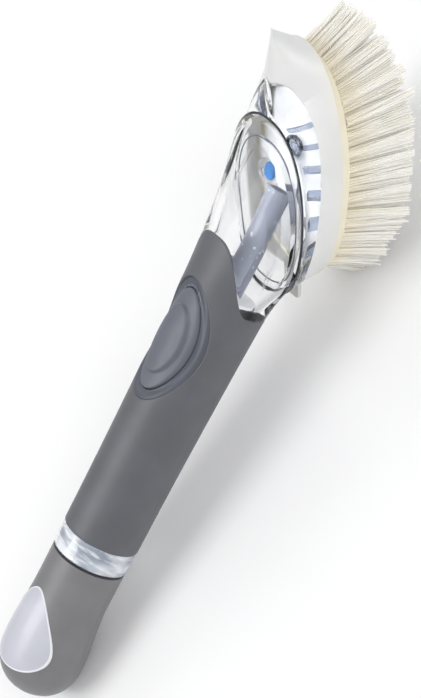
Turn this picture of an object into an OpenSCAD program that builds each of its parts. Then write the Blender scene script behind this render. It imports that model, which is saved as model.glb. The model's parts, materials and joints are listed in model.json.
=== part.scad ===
// Soap dispensing dish wand: a clear handle that holds the soap, a button pump, a snap-on bristle head.
// The wand is drawn with its handle along X, cap end at x = 0 and button side up, and place() then
// lays it down as it rests on a table: on the end cap and on the tips of the heel bristles.

/* [Handle tube] */
// Radius of the clear tube where it shows as a band
tube_r = 14.5; // [13.8:0.1:15.5]
// Wall of the clear tube
tube_wall = 1.9; // [1.4:0.1:2.2]
// Length of the clear band between the end cap and the grip
band_len = 9.2; // [5:0.1:14]
// Length of the threaded neck
neck_len = 14; // [12:0.5:16]
// Radius of the neck between its threads
neck_r = 11.3; // [10.9:0.1:11.6]
// Wall of the neck
neck_wall = 1.9; // [1.4:0.1:2.4]
// Distance from the button's centre back to the wall that closes the soap space
bulkhead_back = 31; // [27:0.5:45]
// Thickness of that wall
bulkhead_t = 2; // [1.5:0.1:3]

/* [Screw thread] */
// Distance that the cap moves in one turn
thread_lead = 3; // [2.8:0.1:3.6]
// Height of the thread
thread_h = 0.9; // [0.6:0.05:1]
// Width of the thread at its root
thread_root_w = 1.3; // [1:0.05:1.4]
// Width of the thread at its crest
thread_crest_w = 0.7; // [0.5:0.05:0.9]
// Turns of thread on the neck
neck_turns = 2.75; // [2:0.25:3]
// Turns of thread in the cap
liner_turns = 2.25; // [1.5:0.25:2.5]
// Gap between the two threads, measured across the radius
thread_gap = 0.4; // [0.35:0.05:0.5]

/* [End cap] */
// Length of the end cap
cap_len = 59; // [54:0.5:66]
// Radius of the cap's round end
cap_end_r = 16.1; // [15:0.1:17]
// Length of the cap's round end
cap_dome_len = 17; // [14:0.5:20]
// How far the round end hangs below the handle's axis
cap_droop = 1.3; // [0:0.1:2]
// Depth of the hollow inside the cap
cap_hollow_len = 13; // [8:0.5:16]
// Length of the drop shaped inlay
inlay_len = 33.2; // [28:0.2:33.4]
// Half width of the drop shaped inlay
inlay_half_w = 13.3; // [10:0.1:14]
// Thickness of the inlay
inlay_t = 1.2; // [0.8:0.1:1.5]
// Distance from the cap's end to the inlay
inlay_back = 9.5; // [8:0.5:12]
// Thickness of the black ring between band and cap
o_ring_t = 0.8; // [0.6:0.1:1.2]
// Thickness of the sealing washer in the cap
washer_t = 1.2; // [0.8:0.1:1.6]

/* [Soft grip] */
// Thickness of the grip where it starts at the band
grip_t = 1.5; // [1.2:0.1:1.8]
// Length of the grip from the band to its edge at the sides
grip_len = 100; // [92:1:115]
// Length of the rounded tongue in front of that edge
tongue_len = 22; // [14:0.5:26]
// Radius of the grip at the band
grip_back_r = 14.7; // [14.6:0.1:15]
// Radius of the grip at the nose
grip_front_r = 16.4; // [16:0.1:17]

/* [Button] */
// Distance from the band to the button's centre
button_at = 80.8; // [70:0.5:84]
// Half length of the button
button_a = 20; // [17:0.5:22]
// Half width of the button
button_b = 9.8; // [8.5:0.1:10.2]
// Half length of the raised thumb pad
pad_a = 12.8; // [9:0.2:14]
// Half width of the raised thumb pad
pad_b = 6.8; // [5:0.1:7.5]
// Height of the thumb pad over the button
pad_h = 1.3; // [0.6:0.1:2]
// Width of the oval frame round the button
bezel_w = 3.6; // [2.5:0.1:3.8]
// How far the frame and the button lie below the grip's surface
bezel_drop = 0.6; // [0.3:0.1:1]
// Travel of the button
button_travel = 3; // [2:0.5:3]

/* [Pump] */
// Outer radius of the pump cup
cup_r = 8.2; // [7:0.1:8.4]
// Wall of the pump cup
cup_wall = 1.2; // [0.9:0.1:1.6]
// Height of the pump cup
cup_h = 12; // [10:0.5:12.5]
// Folds of the pump bellows
bellows_folds = 3; // [2:1:4]
// Radius of the button's plunger
plunger_r = 4; // [3:0.1:5]
// Outer radius of the soap duct
duct_r = 4.6; // [3.5:0.1:5]
// Wall of the soap duct
duct_wall = 1.2; // [0.8:0.1:1.6]

/* [Nose] */
// Wall of the clear nose at its rim
nose_wall = 2.2; // [1.6:0.1:3]
// Half length of the nose's slanted rim
rim_a = 34; // [31:0.5:36]
// Half width of the nose's slanted rim
rim_b = 23.5; // [21:0.1:24]
// Thickness of the deck that closes the nose
deck_t = 1.8; // [1.2:0.1:2.5]
// Half length of the oval valve chamber
chamber_a = 25.5; // [20:0.5:26]
// Half width of the oval valve chamber
chamber_b = 13.4; // [10:0.2:14]
// Length of the valve chamber's wall along the handle
chamber_len = 9; // [6:0.5:12]
// Thickness of the dark seal on the nose's rim
seal_t = 1.1; // [0.8:0.1:1.5]
// Radius of the valve seat
seat_r = 4.6; // [4:0.1:5.5]

/* [Brush head] */
// Angle between the handle and the bristle plate
head_angle = 31; // [25:0.5:36]
// Distance from the grip's side edge to the plate's centre, along the handle
head_at = 59; // [56:0.5:64]
// Distance of the plate's centre below the handle's axis
head_drop = 4.5; // [2:0.1:6]
// Half length of the white hood
hood_a = 44.7; // [43:0.1:48]
// Half width of the white hood
hood_b = 26.4; // [25.5:0.1:28]
// Height of the head from the plate's underside to the rim that meets the nose
rim_h = 16.2; // [15:0.1:18]
// Height of the pointed scraper tip over the plate's underside
scraper_h = 17.3; // [15:0.1:20]
// How far the scraper tip stands in front of the hood's outline
scraper_out = 7.3; // [4:0.1:9]
// Wall of the clear head body
head_wall = 2; // [1.5:0.1:2.5]
// Thickness of the cream bristle plate
plate_t = 3.5; // [2.5:0.1:4.5]
// How far the plate's outline lies inside the hood's
plate_inset = 1.2; // [0.6:0.1:2]
// Radius of the soap outlet in the plate
outlet_r = 2; // [1.5:0.1:2.5]
// Width of the release tab
tab_w = 11; // [8:0.5:14]
// How far the release tab stands out
tab_out = 8; // [6:0.5:9]

/* [Bristles] */
// Length of the bristles
bristle_len = 24.5; // [22:0.5:26]
// Radius of one strand
strand_r = 0.8; // [0.6:0.05:0.9]
// Distance between strands
strand_pitch = 2.85; // [2.7:0.05:3.3]
// Lean of the strands in the middle towards the toe, in degrees
lean_mid = 3; // [0:0.5:5]
// Further lean of the strands at the toe and the heel
lean_ends = 21; // [16:0.5:24]
// Extra lean of the outermost strands at the toe
lean_toe = 9; // [4:0.5:12]
// Lean of the strands at the sides
lean_sides = 14; // [8:0.5:18]
// Depth that the heel strands are cut flat where they stand on the table
rest_cut = 0.5; // [0.3:0.1:0.8]

/* [Clearances] */
// Gap between pieces that move past each other
gap = 0.3; // [0.25:0.05:0.4]
// Gap between pieces that are fixed together
seat_gap = 0.05; // [0.03:0.01:0.08]

/* [Hidden] */
$fn = 72;
far = 60;
// Stations along the handle
x_band = cap_len;
x_grip = x_band + band_len;
x_side = x_grip + grip_len;
x_tongue = x_side + tongue_len;
x_button = x_grip + button_at;
x_neck = x_band - neck_len;
x_bulkhead = x_button - bulkhead_back;
x_boss = x_bulkhead + bulkhead_t;
boss_len = 3;
boss_r = 4;
valve_stem_r = 1.9;
x_nose = x_side - 3;
// Radii of the tube
core_r = grip_back_r - grip_t - 0.2;
bore_r = core_r - tube_wall;
neck_bore = neck_r - neck_wall;
liner_bore = neck_r + thread_h + thread_gap;
liner_out = liner_bore + 0.65;
// Cap
x_cap_rim = x_band - o_ring_t - gap;
cap_rim_r = tube_r - 0.1;
x_washer = x_neck - gap - washer_t;
x_shoulder = x_washer - gap;
cap_swell_end = 45;
cap_sides = 40;
// Button
button_r = grip_r(x_button) - bezel_drop;
button_gap_b = button_b + gap;
button_gap_a = button_a + gap;
skirt_t = 1.2;
z_cup_top = 4.8;
bellows_wall = 0.9;
z_cup = z_cup_top - cup_h;
// Head: its centre, its rims and its outlines
plate_x = x_side + head_at;
plate_z = -head_drop;
seal_h = rim_h + gap;
nose_rim_h = seal_h + seal_t;
rim_u = -15;
nose_steps = 14;
nose_power = 1.7;
ease_from = 0.25;
ease_over = 0.65;
deck_inset = 1.3;
deck_fore = 0.5;
chamber_e = 2.1;
chamber_fore = 1.4;
chamber_wall = 1.4;
valve_hole_r = 1.4;
rim_e = 2.25;
hood_u = 0.3;
hood_e = 2.3;
toe_e = 2;
floor_h = plate_t + 2;
ridge_u = hood_a - 13.7;
ridge_h = rim_h + 3.2;
ridge_r = 3;
window_e = 2.7;
window_low_a = hood_a - 8.2;
window_low_b = hood_b - 4.4;
window_low_u = rim_u / 2 - 1;
window_high_a = rim_a + 15.5;
window_high_b = rim_b + 7.5;
window_high_u = rim_u - 0.5;
window_top = rim_h + 7.8;
trough_a = hood_a - 8;
trough_b = hood_b - head_wall - 4;
trough_u = -4;
outline_n = 64;
slice_t = 0.05;
plate_a = hood_a - plate_inset;
plate_b = hood_b - plate_inset / 2;
outlet_u = 5;
duct_z = -1;
x_duct_end = plate_x - 15;
valve_u = -1.5;
valve_h = 15.2;
seal_lip = 0.15;
tab_u = hood_u - hood_a - 1.2;
tab_root = 4;
tab_h = floor_h - 0.6;
tab_t = 1.8;
// Bristles
slab_t = 0.9;
end_trim = 0.09;
row_gap = 0.3;
tip_taper = 0.2;
field_a = plate_a - 3.3;
field_b = plate_b - 2;
row_n = floor(2 * field_a / strand_pitch) + 1;

// Radius of the grip at x: a cylinder that swells towards the nose
function grip_r(x) =
    let (s = max(0, min(1, (x - x_grip) / (x_side - x_grip))))
    grip_back_r + (grip_front_r - grip_back_r) * pow(s, 1.8);

// Closed oval with exponent e: 2 is an ellipse, more is squarer; the front half may have its own
function oval(a, b, e = 2, n = outline_n, u = 0, front_e = 0) =
    [for (i = [0 : n - 1])
        let (t = 360 * i / n, c = cos(t), s = sin(t), k = c > 0 && front_e > 0 ? front_e : e)
        [u + a * sign(c) * pow(abs(c), 2 / k), b * sign(s) * pow(abs(s), 2 / k)]];

// Outlines of the head: at the rim that meets the nose, and at the plate
function rim_outline(grow = 0) = oval(rim_a + grow, rim_b + grow, rim_e, outline_n, rim_u);
function head_outline(grow_a = 0, grow_b = 0) =
    oval(hood_a + grow_a, hood_b + grow_b, hood_e, outline_n, hood_u, toe_e);

// Point of the wand from plate coordinates: u to the toe, w across, h away from the bristles
function from_plate(u, w, h) = [
    plate_x + u * cos(head_angle) - h * sin(head_angle), w,
    plate_z + u * sin(head_angle) + h * cos(head_angle)];

// Outline points set at height h in plate coordinates
function at_h(outline, h) = [for (q = outline) [q[0], q[1], h]];

// Drop shaped outline: an ellipse that narrows towards its tip
function drop(grow = 0) =
    [for (t = [0 : 6 : 354]) [
        inlay_back + inlay_len / 2 + (inlay_len / 2 + grow) * cos(t),
        (inlay_half_w + grow) * sin(t) * (1 - 0.4 * cos(t))]];

// Tongue outline in plan: x falls from the tip to the side edge as |y| grows
function tongue(grow = 0) = concat(
    [for (i = [-24 : 24]) let (y = grip_front_r * 1.02 * i / 24)
        [x_side + (tongue_len) * (1 - pow(abs(i) / 24, 2.9)) + grow, y * (1 + grow / grip_front_r)]],
    [[x_side - 40, grip_front_r * 1.2], [x_side - 40, -grip_front_r * 1.2]]);

// Radius and centre height of the end cap at x
function cap_r(x) = x < cap_dome_len
    ? cap_end_r * pow(1 - pow(1 - x / cap_dome_len, 2.3), 1 / 2.3)
    : cap_rim_r + (cap_end_r - cap_rim_r) * (0.5 + 0.5 * cos(180 * min(1, (x - cap_dome_len)
        / (cap_swell_end - cap_dome_len))));
function cap_z(x) = -cap_droop * (0.5 + 0.5 * cos(180 * min(1, x / cap_swell_end)));
cap_stations = concat(
    [for (a = concat([5], [for (k = [12 : 11 : 78]) k])) cap_dome_len * (1 - cos(a))],
    [for (x = [cap_dome_len : 4 : cap_swell_end - 1]) x],
    [cap_swell_end, x_cap_rim]);

// Strands fan out from the plate; a strand's way down is its direction for each mm of depth
function lean_u(u) = let (s = u / field_a) lean_mid + lean_ends * s + lean_toe * pow(max(0, s), 3);
function lean_w(w) = lean_sides * w / field_b;
function way_down(u, w) = [tan(lean_u(u)), tan(lean_w(w)), -1];
function scatter(u, w) = let (q = 43.7 * sin(57 * u + 113 * w)) q - floor(q);
function strand_depth(u, w) = bristle_len * cos(lean_u(u)) * (0.985 + 0.03 * scatter(u, w))
    * (1 - end_trim * pow(abs(u / field_a), 3));
// Depth at which a strand from q meets the table
function depth_at_table(q, d) =
    let (a = from_plate(q[0], q[1], q[2]), b = from_plate(q[0] + d[0], q[1] + d[1], q[2] + d[2]))
    (row_z(a, rest_tilt) - table_z) / max(0.001, row_z(a, rest_tilt) - row_z(b, rest_tilt));
function cut_depth(q, d, l) = let (t = depth_at_table(q, d)) t > 0 ? min(l, t) : l;
function strand_end(u, w) = let (e = [u, w, -slab_t] + way_down(u, w) * strand_depth(u, w))
    from_plate(e[0], e[1], e[2]);
// Rows across the plate: place, half length and number of strands
function row_u(i) = (i - (row_n - 1) / 2) * strand_pitch;
function row_half(u) = field_b * pow(1 - pow(min(1, abs(u) / (field_a + 1)), hood_e), 1 / hood_e);

// Ends of strands of each row, from the middle to the side
row_ends = [for (i = [0 : row_n - 1], w = [0, 0.5, 1]) let (u = row_u(i)) strand_end(u, w * row_half(u))];

// Resting place: the tilt at which the strands reach the cut depth below the cap's lowest point
function row_z(p, tilt) = p[0] * sin(tilt) + p[2] * cos(tilt);
function row_x(p, tilt) = p[0] * cos(tilt) - p[2] * sin(tilt);
function cap_low(tilt) = min([for (x = cap_stations) row_z([x, 0, cap_z(x) - cap_r(x)], tilt)]);
function strands_low(tilt) = min([for (p = row_ends) row_z(p, tilt)]);
function find_tilt(lo, hi, steps) = let (mid = (lo + hi) / 2)
    steps == 0 ? mid
    : strands_low(mid) + rest_cut < cap_low(mid) ? find_tilt(mid, hi, steps - 1)
    : find_tilt(lo, mid, steps - 1);
rest_tilt = find_tilt(0, 25, 24);
table_z = cap_low(rest_tilt);
x_low = min([for (x = cap_stations, a = [0 : 360 / cap_sides : 359])
    row_x([x, 0, cap_z(x) + cap_r(x) * cos(a)], rest_tilt)]);
x_high = max([for (p = row_ends) row_x(p, rest_tilt)]);

// Lays the wand down on the table, with its middle over the origin
module place() {
    translate([-(x_low + x_high) / 2, 0, -table_z]) rotate([0, -rest_tilt, 0]) children();
}

// Children drawn in plate coordinates, in the wand's own frame and as it rests
module wand_from_plate() {
    translate([plate_x, 0, plate_z]) rotate([0, -head_angle, 0]) children();
}
module on_plate() {
    place() wand_from_plate() children();
}

// Turned piece about the handle's axis from [radius, x] points
module turned(pts) {
    rotate([0, 90, 0]) rotate_extrude() polygon(pts);
}

// Ring of rectangular section about the handle's axis
module turned_ring(r0, r1, x0, x1) {
    turned([[r0, x0], [r1, x0], [r1, x1], [r0, x1]]);
}

// Skin through rings of points, closed by flat ends, or joined end to end when looped
module skin(rings, looped = false) {
    n = len(rings[0]);
    m = len(rings);
    sides = [for (i = [0 : looped ? m - 1 : m - 2], j = [0 : n - 1])
        let (a = i * n + j, b = i * n + (j + 1) % n, c = ((i + 1) % m) * n + j,
            d = ((i + 1) % m) * n + (j + 1) % n)
        each [[a, b, c], [b, d, c]]];
    ends = looped ? [] : [[for (j = [n - 1 : -1 : 0]) j], [for (j = [0 : n - 1]) (m - 1) * n + j]];
    polyhedron(points = [for (r = rings) each r], faces = concat(sides, ends));
}

// Upright oval prism through the handle at the button
module button_prism(a, b, z0 = 0, z1 = far) {
    translate([x_button, 0, z0]) linear_extrude(z1 - z0) polygon(oval(a, b));
}

// Hole in the tube and the nose for the skirt of the button's frame
module skirt_hole() {
    button_prism(button_gap_a + skirt_t + seat_gap, button_gap_b + skirt_t + seat_gap);
}

// Helical thread ridge from radius r0 to r1, starting at x0; its ends run out
module thread(r0, r1, x0, turns) {
    steps = 24;
    n = round(turns * steps);
    rings = [for (i = [0 : n]) let (a = 360 * i / steps, x = x0 + thread_lead * i / steps,
            k = min(1, min(i, n - i) / 3), r = r0 + (r1 - r0) * (0.25 + 0.75 * k))
        [for (q = [[r0, -thread_root_w / 2], [r, -thread_crest_w / 2], [r, thread_crest_w / 2],
                [r0, thread_root_w / 2]])
            [x + q[1], -q[0] * sin(a), q[0] * cos(a)]]];
    skin([for (r = rings) r1 > r0 ? r : [for (j = [3 : -1 : 0]) r[j]]]);
}

// Clear tube: threaded neck, band, and the bore that holds the soap and the pump
module reservoir() {
    color("#dfe9f0", 0.4) place() difference() {
        union() {
            turned([[neck_bore, x_neck], [neck_r, x_neck], [neck_r, x_band], [tube_r, x_band],
                [tube_r, x_grip], [core_r, x_grip], [core_r, x_nose], [bore_r, x_nose],
                [bore_r, x_band + 4], [neck_bore, x_band + 2]]);
            thread(neck_r - 0.3, neck_r + thread_h, x_neck + 1.6, neck_turns);
        }
        skirt_hole();
    }
}

// Wall between soap and pump, with its valve hole
module bulkhead() {
    color("#c9d3da") place() difference() {
        turned([[valve_stem_r + 0.1, x_bulkhead], [bore_r - seat_gap, x_bulkhead],
            [bore_r - seat_gap, x_boss], [boss_r, x_boss],
            [boss_r, x_boss + boss_len], [valve_stem_r + 0.1, x_boss + boss_len]]);
        for (a = [0 : 60 : 300]) rotate([a, 0, 0]) translate([x_bulkhead - 1, 0, 6.5]) rotate([0, 90, 0])
            cylinder(h = bulkhead_t + 2, r = 1);
    }
}

// Mushroom shaped rubber valve in the wall's boss
module inlet_valve() {
    x = x_boss + boss_len + seat_gap;
    color("#f2f2ee") place() turned([[0, x_bulkhead - 1.5], [valve_stem_r, x_bulkhead - 1.5],
        [valve_stem_r, x], [boss_r - 0.4, x], [boss_r - 1.6, x + 1.5], [0, x + 2]]);
}

// Space that the grip fills outside the tube
module grip_zone(grow = 0) {
    union() {
        translate([x_side - 140, -far, -far]) cube([140 + grow, 2 * far, 2 * far]);
        linear_extrude(far) polygon(tongue(grow));
    }
}

// Soft sleeve over the tube, with a rounded tongue on the nose and an oval window for the button
module grip_sleeve() {
    color("#626265") place() difference() {
        intersection() {
            turned(concat([[core_r + seat_gap, x_tongue + 2], [core_r + seat_gap, x_grip + seat_gap]],
                [for (s = [0 : 1 / 16 : 1]) let (x = x_grip + seat_gap + (x_tongue + 2 - x_grip) * s)
                    [grip_r(x), x]]));
            grip_zone();
        }
        button_prism(button_gap_a + bezel_w + seat_gap, button_gap_b + bezel_w + seat_gap);
    }
}

// Oval frame that the button moves in, with a skirt down into the tube
module button_bezel() {
    color("#555a64") place() difference() {
        union() {
            intersection() {
                button_prism(button_gap_a + bezel_w, button_gap_b + bezel_w);
                turned_ring(core_r + seat_gap, button_r, x_button - 40, x_button + 40);
            }
            intersection() {
                button_prism(button_gap_a + skirt_t, button_gap_b + skirt_t, 4);
                turned_ring(0.1, button_r, x_button - 40, x_button + 40);
            }
        }
        button_prism(button_gap_a, button_gap_b);
    }
}

// Oval push button with a raised thumb pad and a plunger below
module button() {
    color("#767880") place() difference() {
        union() {
            intersection() {
                button_prism(button_a, button_b, z_cup_top + gap + button_travel);
                turned_ring(0.1, button_r, x_button - 30, x_button + 30);
            }
            intersection() {
                button_prism(pad_a, pad_b, z_cup_top + gap + button_travel);
                turned_ring(0.1, button_r + pad_h, x_button - 30, x_button + 30);
            }
        }
        difference() {
            button_prism(button_a - 1.6, button_b - 1.6, 0, button_r - 4.6);
            translate([x_button, 0, 0]) cylinder(h = far, r = plunger_r);
        }
    }
}

// Cup that holds the bellows, with a port to the soap duct
module pump_cup() {
    color("#e6e8ea") place() translate([x_button, 0, z_cup]) difference() {
        intersection() {
            cylinder(h = cup_h, r = cup_r);
            translate([-far, 0, -z_cup]) rotate([0, 90, 0]) cylinder(h = 2 * far, r = bore_r - seat_gap);
        }
        translate([0, 0, cup_wall]) cylinder(h = cup_h, r = cup_r - cup_wall);
        translate([0, 0, duct_z - z_cup]) rotate([0, 90, 0]) cylinder(h = far, r = duct_r - duct_wall);
        translate([0, 0, duct_z - z_cup]) rotate([0, -90, 0]) cylinder(h = far, r = 2.5);
    }
}

// Folded rubber bellows between the cup's floor and the plunger
module pump_bellows() {
    r1 = cup_r - cup_wall - gap;
    r0 = r1 - 1.6;
    z0 = z_cup + cup_wall + seat_gap;
    h = z_cup_top + gap + button_travel - seat_gap - z0;
    outer = [for (i = [0 : 2 * bellows_folds]) [i % 2 == 0 ? r0 : r1, h * i / (2 * bellows_folds)]];
    inner = [for (i = [2 * bellows_folds : -1 : 0])
        [(i % 2 == 0 ? r0 : r1) - bellows_wall, h * i / (2 * bellows_folds)]];
    color("#d7dadd") place() translate([x_button, 0, z0]) {
        rotate_extrude() polygon(concat(outer, inner));
    }
}

// Tube that leads the soap from the pump through the nose
module soap_duct() {
    color("#8c93a3") place() difference() {
        translate([x_button, 0, duct_z]) rotate([0, 90, 0]) cylinder(h = x_duct_end - x_button, r = duct_r);
        translate([x_button - 1, 0, duct_z]) rotate([0, 90, 0])
            cylinder(h = x_duct_end - x_button + 2, r = duct_r - duct_wall);
        translate([x_button, 0, -far]) cylinder(h = 2 * far, r = cup_r + seat_gap);
    }
}

// One ring of the nose, from a circle at the tube to the slanted oval rim; eased holds the top line
// down under the tongue and lifts it early over the deck
function ease(x) = let (c = min(1, max(0, x))) c * c * (3 - 2 * c);
function nose_ring(s, r, a, b, eased) =
    let (rim = oval(a, b, rim_e, cap_sides, rim_u)) [for (i = [0 : cap_sides - 1])
    let (t = 360 * i / cap_sides, top = eased * pow(max(0, cos(t)), 2),
        f = pow(s, nose_power) * (1 - top) + ease((s - ease_from) / ease_over) * top,
        e = from_plate(rim[i][0], rim[i][1], nose_rim_h))
    [x_nose + seat_gap + (e[0] - x_nose - seat_gap) * s, r * sin(t) * (1 - f) + e[1] * f,
        r * cos(t) * (1 - f) + e[2] * f]];

// Rings of the nose's inside, from the tube to the rim
nose_inside = [for (i = [0 : nose_steps])
    nose_ring(i / nose_steps, bore_r, rim_a - nose_wall, rim_b - nose_wall, 1)];

// Clear flared nose: walls from the tube to the slanted rim
module nose_shell() {
    outer = [for (i = [0 : nose_steps]) nose_ring(i / nose_steps, grip_front_r, rim_a, rim_b, 0)];
    inner = [for (i = [nose_steps : -1 : 0]) nose_inside[i]];
    color("#e4edf3", 0.4) place() resize([0, 0, 0]) difference() {
        skin(concat(outer, inner), looped = true);
        difference() {
            grip_zone(seat_gap);
            rotate([0, 90, 0]) cylinder(h = 3 * far + x_side, r = core_r);
        }
        skirt_hole();
    }
}

// Outline in plate coordinates carried back along the handle, as a slab parallel to the rim
module slanted_slab(outline, h, length) {
    lower = at_h(outline, h);
    d = length * [cos(head_angle), 0, -sin(head_angle)];
    skin([[for (q = lower) q - d], lower]);
}

// Deck that closes the nose
module nose_deck() {
    color("#e9eff3", 0.5) difference() {
        on_plate() slanted_slab(
            oval(rim_a - nose_wall - deck_inset, rim_b - nose_wall - 1.5 * deck_inset, 2, outline_n,
                rim_u + deck_fore),
            nose_rim_h, deck_t / sin(head_angle));
        place() translate([x_button, 0, duct_z]) rotate([0, 90, 0])
            cylinder(h = 2 * far, r = duct_r + seat_gap);
        on_plate() translate([valve_u, 0, 0]) cylinder(h = far, r = valve_hole_r);
    }
}

// Oval wall on the deck, round the valve
module valve_chamber() {
    h = nose_rim_h + deck_t + seat_gap;
    u = rim_u + chamber_fore - (deck_t + seat_gap) / tan(head_angle);
    d = chamber_len * [cos(head_angle), 0, -sin(head_angle)];
    outer = at_h(oval(chamber_a, chamber_b, chamber_e, outline_n, u), h);
    inner = at_h(oval(chamber_a - chamber_wall, chamber_b - chamber_wall, chamber_e, outline_n, u), h);
    color("#dbe4ec", 0.5) on_plate()
        skin([inner, [for (q = inner) q - d], [for (q = outer) q - d], outer], looped = true);
}

// Grey disc under the deck that the valve closes on
module valve_seat() {
    color("#9aa2ae") on_plate() translate([valve_u, 0, 0]) difference() {
        translate([0, 0, valve_h + 0.6]) cylinder(h = nose_rim_h - seat_gap - valve_h - 0.6, r = seat_r);
        cylinder(h = far, r = valve_hole_r);
    }
}

// Blue rubber valve: a domed tongue below its seat
module outlet_valve() {
    color("#0a8cf0") on_plate() translate([valve_u - 0.6, 0, valve_h + 0.6 - seat_gap]) intersection() {
        scale([3.4, 2.1, 2.6]) sphere(r = 1, $fn = 40);
        translate([-5, -5, -5]) cube([10, 10, 5]);
    }
}

// Dark seal on the nose's rim
module nose_seal() {
    outer = rim_outline(seal_lip);
    inner = rim_outline(-nose_wall);
    color("#2b3038") on_plate() translate([0, 0, seal_h]) linear_extrude(seal_t - seat_gap)
        difference() {
            polygon(outer);
            polygon(inner);
        }
}

// Black ring between the band and the cap
module band_ring() {
    color("#15181c") place()
        turned_ring(liner_out + gap, tube_r - 0.05, x_band - o_ring_t, x_band - seat_gap);
}

// Sealing washer that the cap presses on the neck
module cap_washer() {
    color("#3a3d42") place() turned_ring(neck_bore + 0.2, liner_bore - gap, x_washer, x_washer + washer_t);
}

// The cap's outside, drawn in by inset
module cap_skin(inset = 0) {
    skin([for (x = cap_stations) if (cap_r(x) > inset + 0.5) let (r = cap_r(x) - inset)
        [for (i = [0 : cap_sides - 1]) let (t = 360 * i / cap_sides)
            [x, r * sin(t), cap_z(x) + r * cos(t)]]]);
}

// Grey end cap: droops a little towards its round end, hollow, with a pocket for the inlay
module end_cap() {
    color("#7d7b7c") place() difference() {
        resize([0, 0, 0]) difference() {
            cap_skin();
            difference() {
                linear_extrude(far) polygon(drop(seat_gap));
                cap_skin(inlay_t + seat_gap);
            }
        }
        turned([[0, x_shoulder - cap_hollow_len], [neck_bore, x_shoulder - cap_hollow_len],
            [neck_bore + 1, x_shoulder],
            [liner_out + seat_gap, x_shoulder], [liner_out + seat_gap, x_band], [0, x_band]]);
    }
}

// Light inlay in the cap's end
module cap_inlay() {
    color("#d0d2dc") place() resize([0, 0, 0]) difference() {
        intersection() {
            cap_skin();
            linear_extrude(far) polygon(drop());
        }
        cap_skin(inlay_t);
    }
}

// Threaded liner in the cap
module cap_liner() {
    color("#c8cbd0") place() union() {
        turned_ring(liner_bore, liner_out, x_shoulder + seat_gap, x_cap_rim);
        thread(liner_bore + 0.3, neck_r + thread_gap - 0.05, x_neck + 1.6 + thread_lead / 2, liner_turns);
    }
}

// Thin outline slice in plate coordinates
module slice(outline, h, t = slice_t) {
    translate([0, 0, h]) linear_extrude(t) polygon(outline);
}

// Outside of the head: a tub from the plate to the nose's rim, and a prow that ends in the scraper tip
module head_outside() {
    union() {
        hull() {
            slice(head_outline(), plate_t);
            slice(head_outline(), plate_t + 2);
            slice(rim_outline(), rim_h - slice_t);
        }
        hull() {
            intersection() {
                slice(head_outline(), plate_t, 1);
                translate([10, -far, 0]) cube([far, 2 * far, far]);
            }
            intersection() {
                slice(rim_outline(), rim_h - slice_t);
                translate([10, -far, 0]) cube([far, 2 * far, far]);
            }
            translate([ridge_u, 0, ridge_h - ridge_r]) sphere(r = ridge_r, $fn = 24);
            translate([hood_a + scraper_out - 0.7, 0, scraper_h - 0.7]) sphere(r = 0.7, $fn = 16);
        }
    }
}

// Room for the nose's rim and seal over the head's rim
module nose_seat() {
    translate([0, 0, rim_h]) linear_extrude(far) polygon(rim_outline(seal_lip + gap));
}

// Slot for the release tab at the heel
module tab_slot() {
    translate([tab_u - 1, -tab_w / 2 - gap, tab_h - gap])
        cube([tab_root + 1 + gap, tab_w + 2 * gap, tab_t + 2 * gap]);
}

// Tapered window in the hood that shows the clear body
module hood_window(grow = 0) {
    hull() {
        slice(oval(window_low_a + grow, window_low_b + grow, window_e, outline_n, window_low_u),
            plate_t - 1);
        slice(oval(window_high_a + grow, window_high_b + grow, window_e, outline_n, window_high_u),
            window_top);
    }
}

// Clear tub of the head, open towards the nose
module head_body() {
    color("#e4edf3", 0.4) on_plate() resize([0, 0, 0]) difference() {
        intersection() {
            head_outside();
            hood_window();
            translate([-far, -far, plate_t + seat_gap]) cube(2 * far);
        }
        hull() {
            slice(oval(trough_a, trough_b, hood_e, outline_n, trough_u), floor_h);
            slice(rim_outline(-head_wall), rim_h + 0.1);
        }
        translate([outlet_u, 0, 0]) cylinder(h = far, r = outlet_r + 1 + seat_gap);
        nose_seat();
        tab_slot();
    }
}

// White hood: a rim round the clear body that rises to the scraper tip
module head_hood() {
    color("#ebebe7") on_plate() resize([0, 0, 0]) difference() {
        head_outside();
        hood_window(seat_gap);
        nose_seat();
        tab_slot();
    }
}

// Cream plate that carries the bristles
module bristle_plate() {
    color("#eee6cd") on_plate() difference() {
        skin([for (q = [[0, plate_t], [0, 1.2], [0.3, 0.4], [1, 0]])
            at_h(head_outline(-plate_inset - q[0], -plate_inset / 2 - q[0]), q[1])]);
        translate([outlet_u, 0, -1]) cylinder(h = far, r = outlet_r + 1 + seat_gap);
    }
}

// Soap outlet through the head's floor and the plate
module soap_nozzle() {
    color("#dfe4e8") on_plate() translate([outlet_u, 0, 0]) difference() {
        union() {
            translate([0, 0, -slab_t]) cylinder(h = floor_h + slab_t + 1, r = outlet_r + 1);
            translate([0, 0, floor_h + seat_gap]) cylinder(h = 1, r = outlet_r + 2.4);
        }
        translate([0, 0, -slab_t - 1]) cylinder(h = far, r = outlet_r);
    }
}

// Release tab at the heel: a root in the slot and a thumb piece that slopes down and out
module release_tab() {
    color("#d9d9d4") on_plate() rotate([90, 0, 0]) translate([0, 0, -tab_w / 2]) linear_extrude(tab_w)
        polygon([[tab_u + tab_root, tab_h], [tab_u + tab_root, tab_h + tab_t], [tab_u - 1.5, tab_h + tab_t],
            [tab_u - tab_out - 1.2, 2], [tab_u - tab_out - 1, 0.4], [tab_u - tab_out + 0.6, 0.2],
            [tab_u - 2.6, tab_h]]);
}

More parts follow.
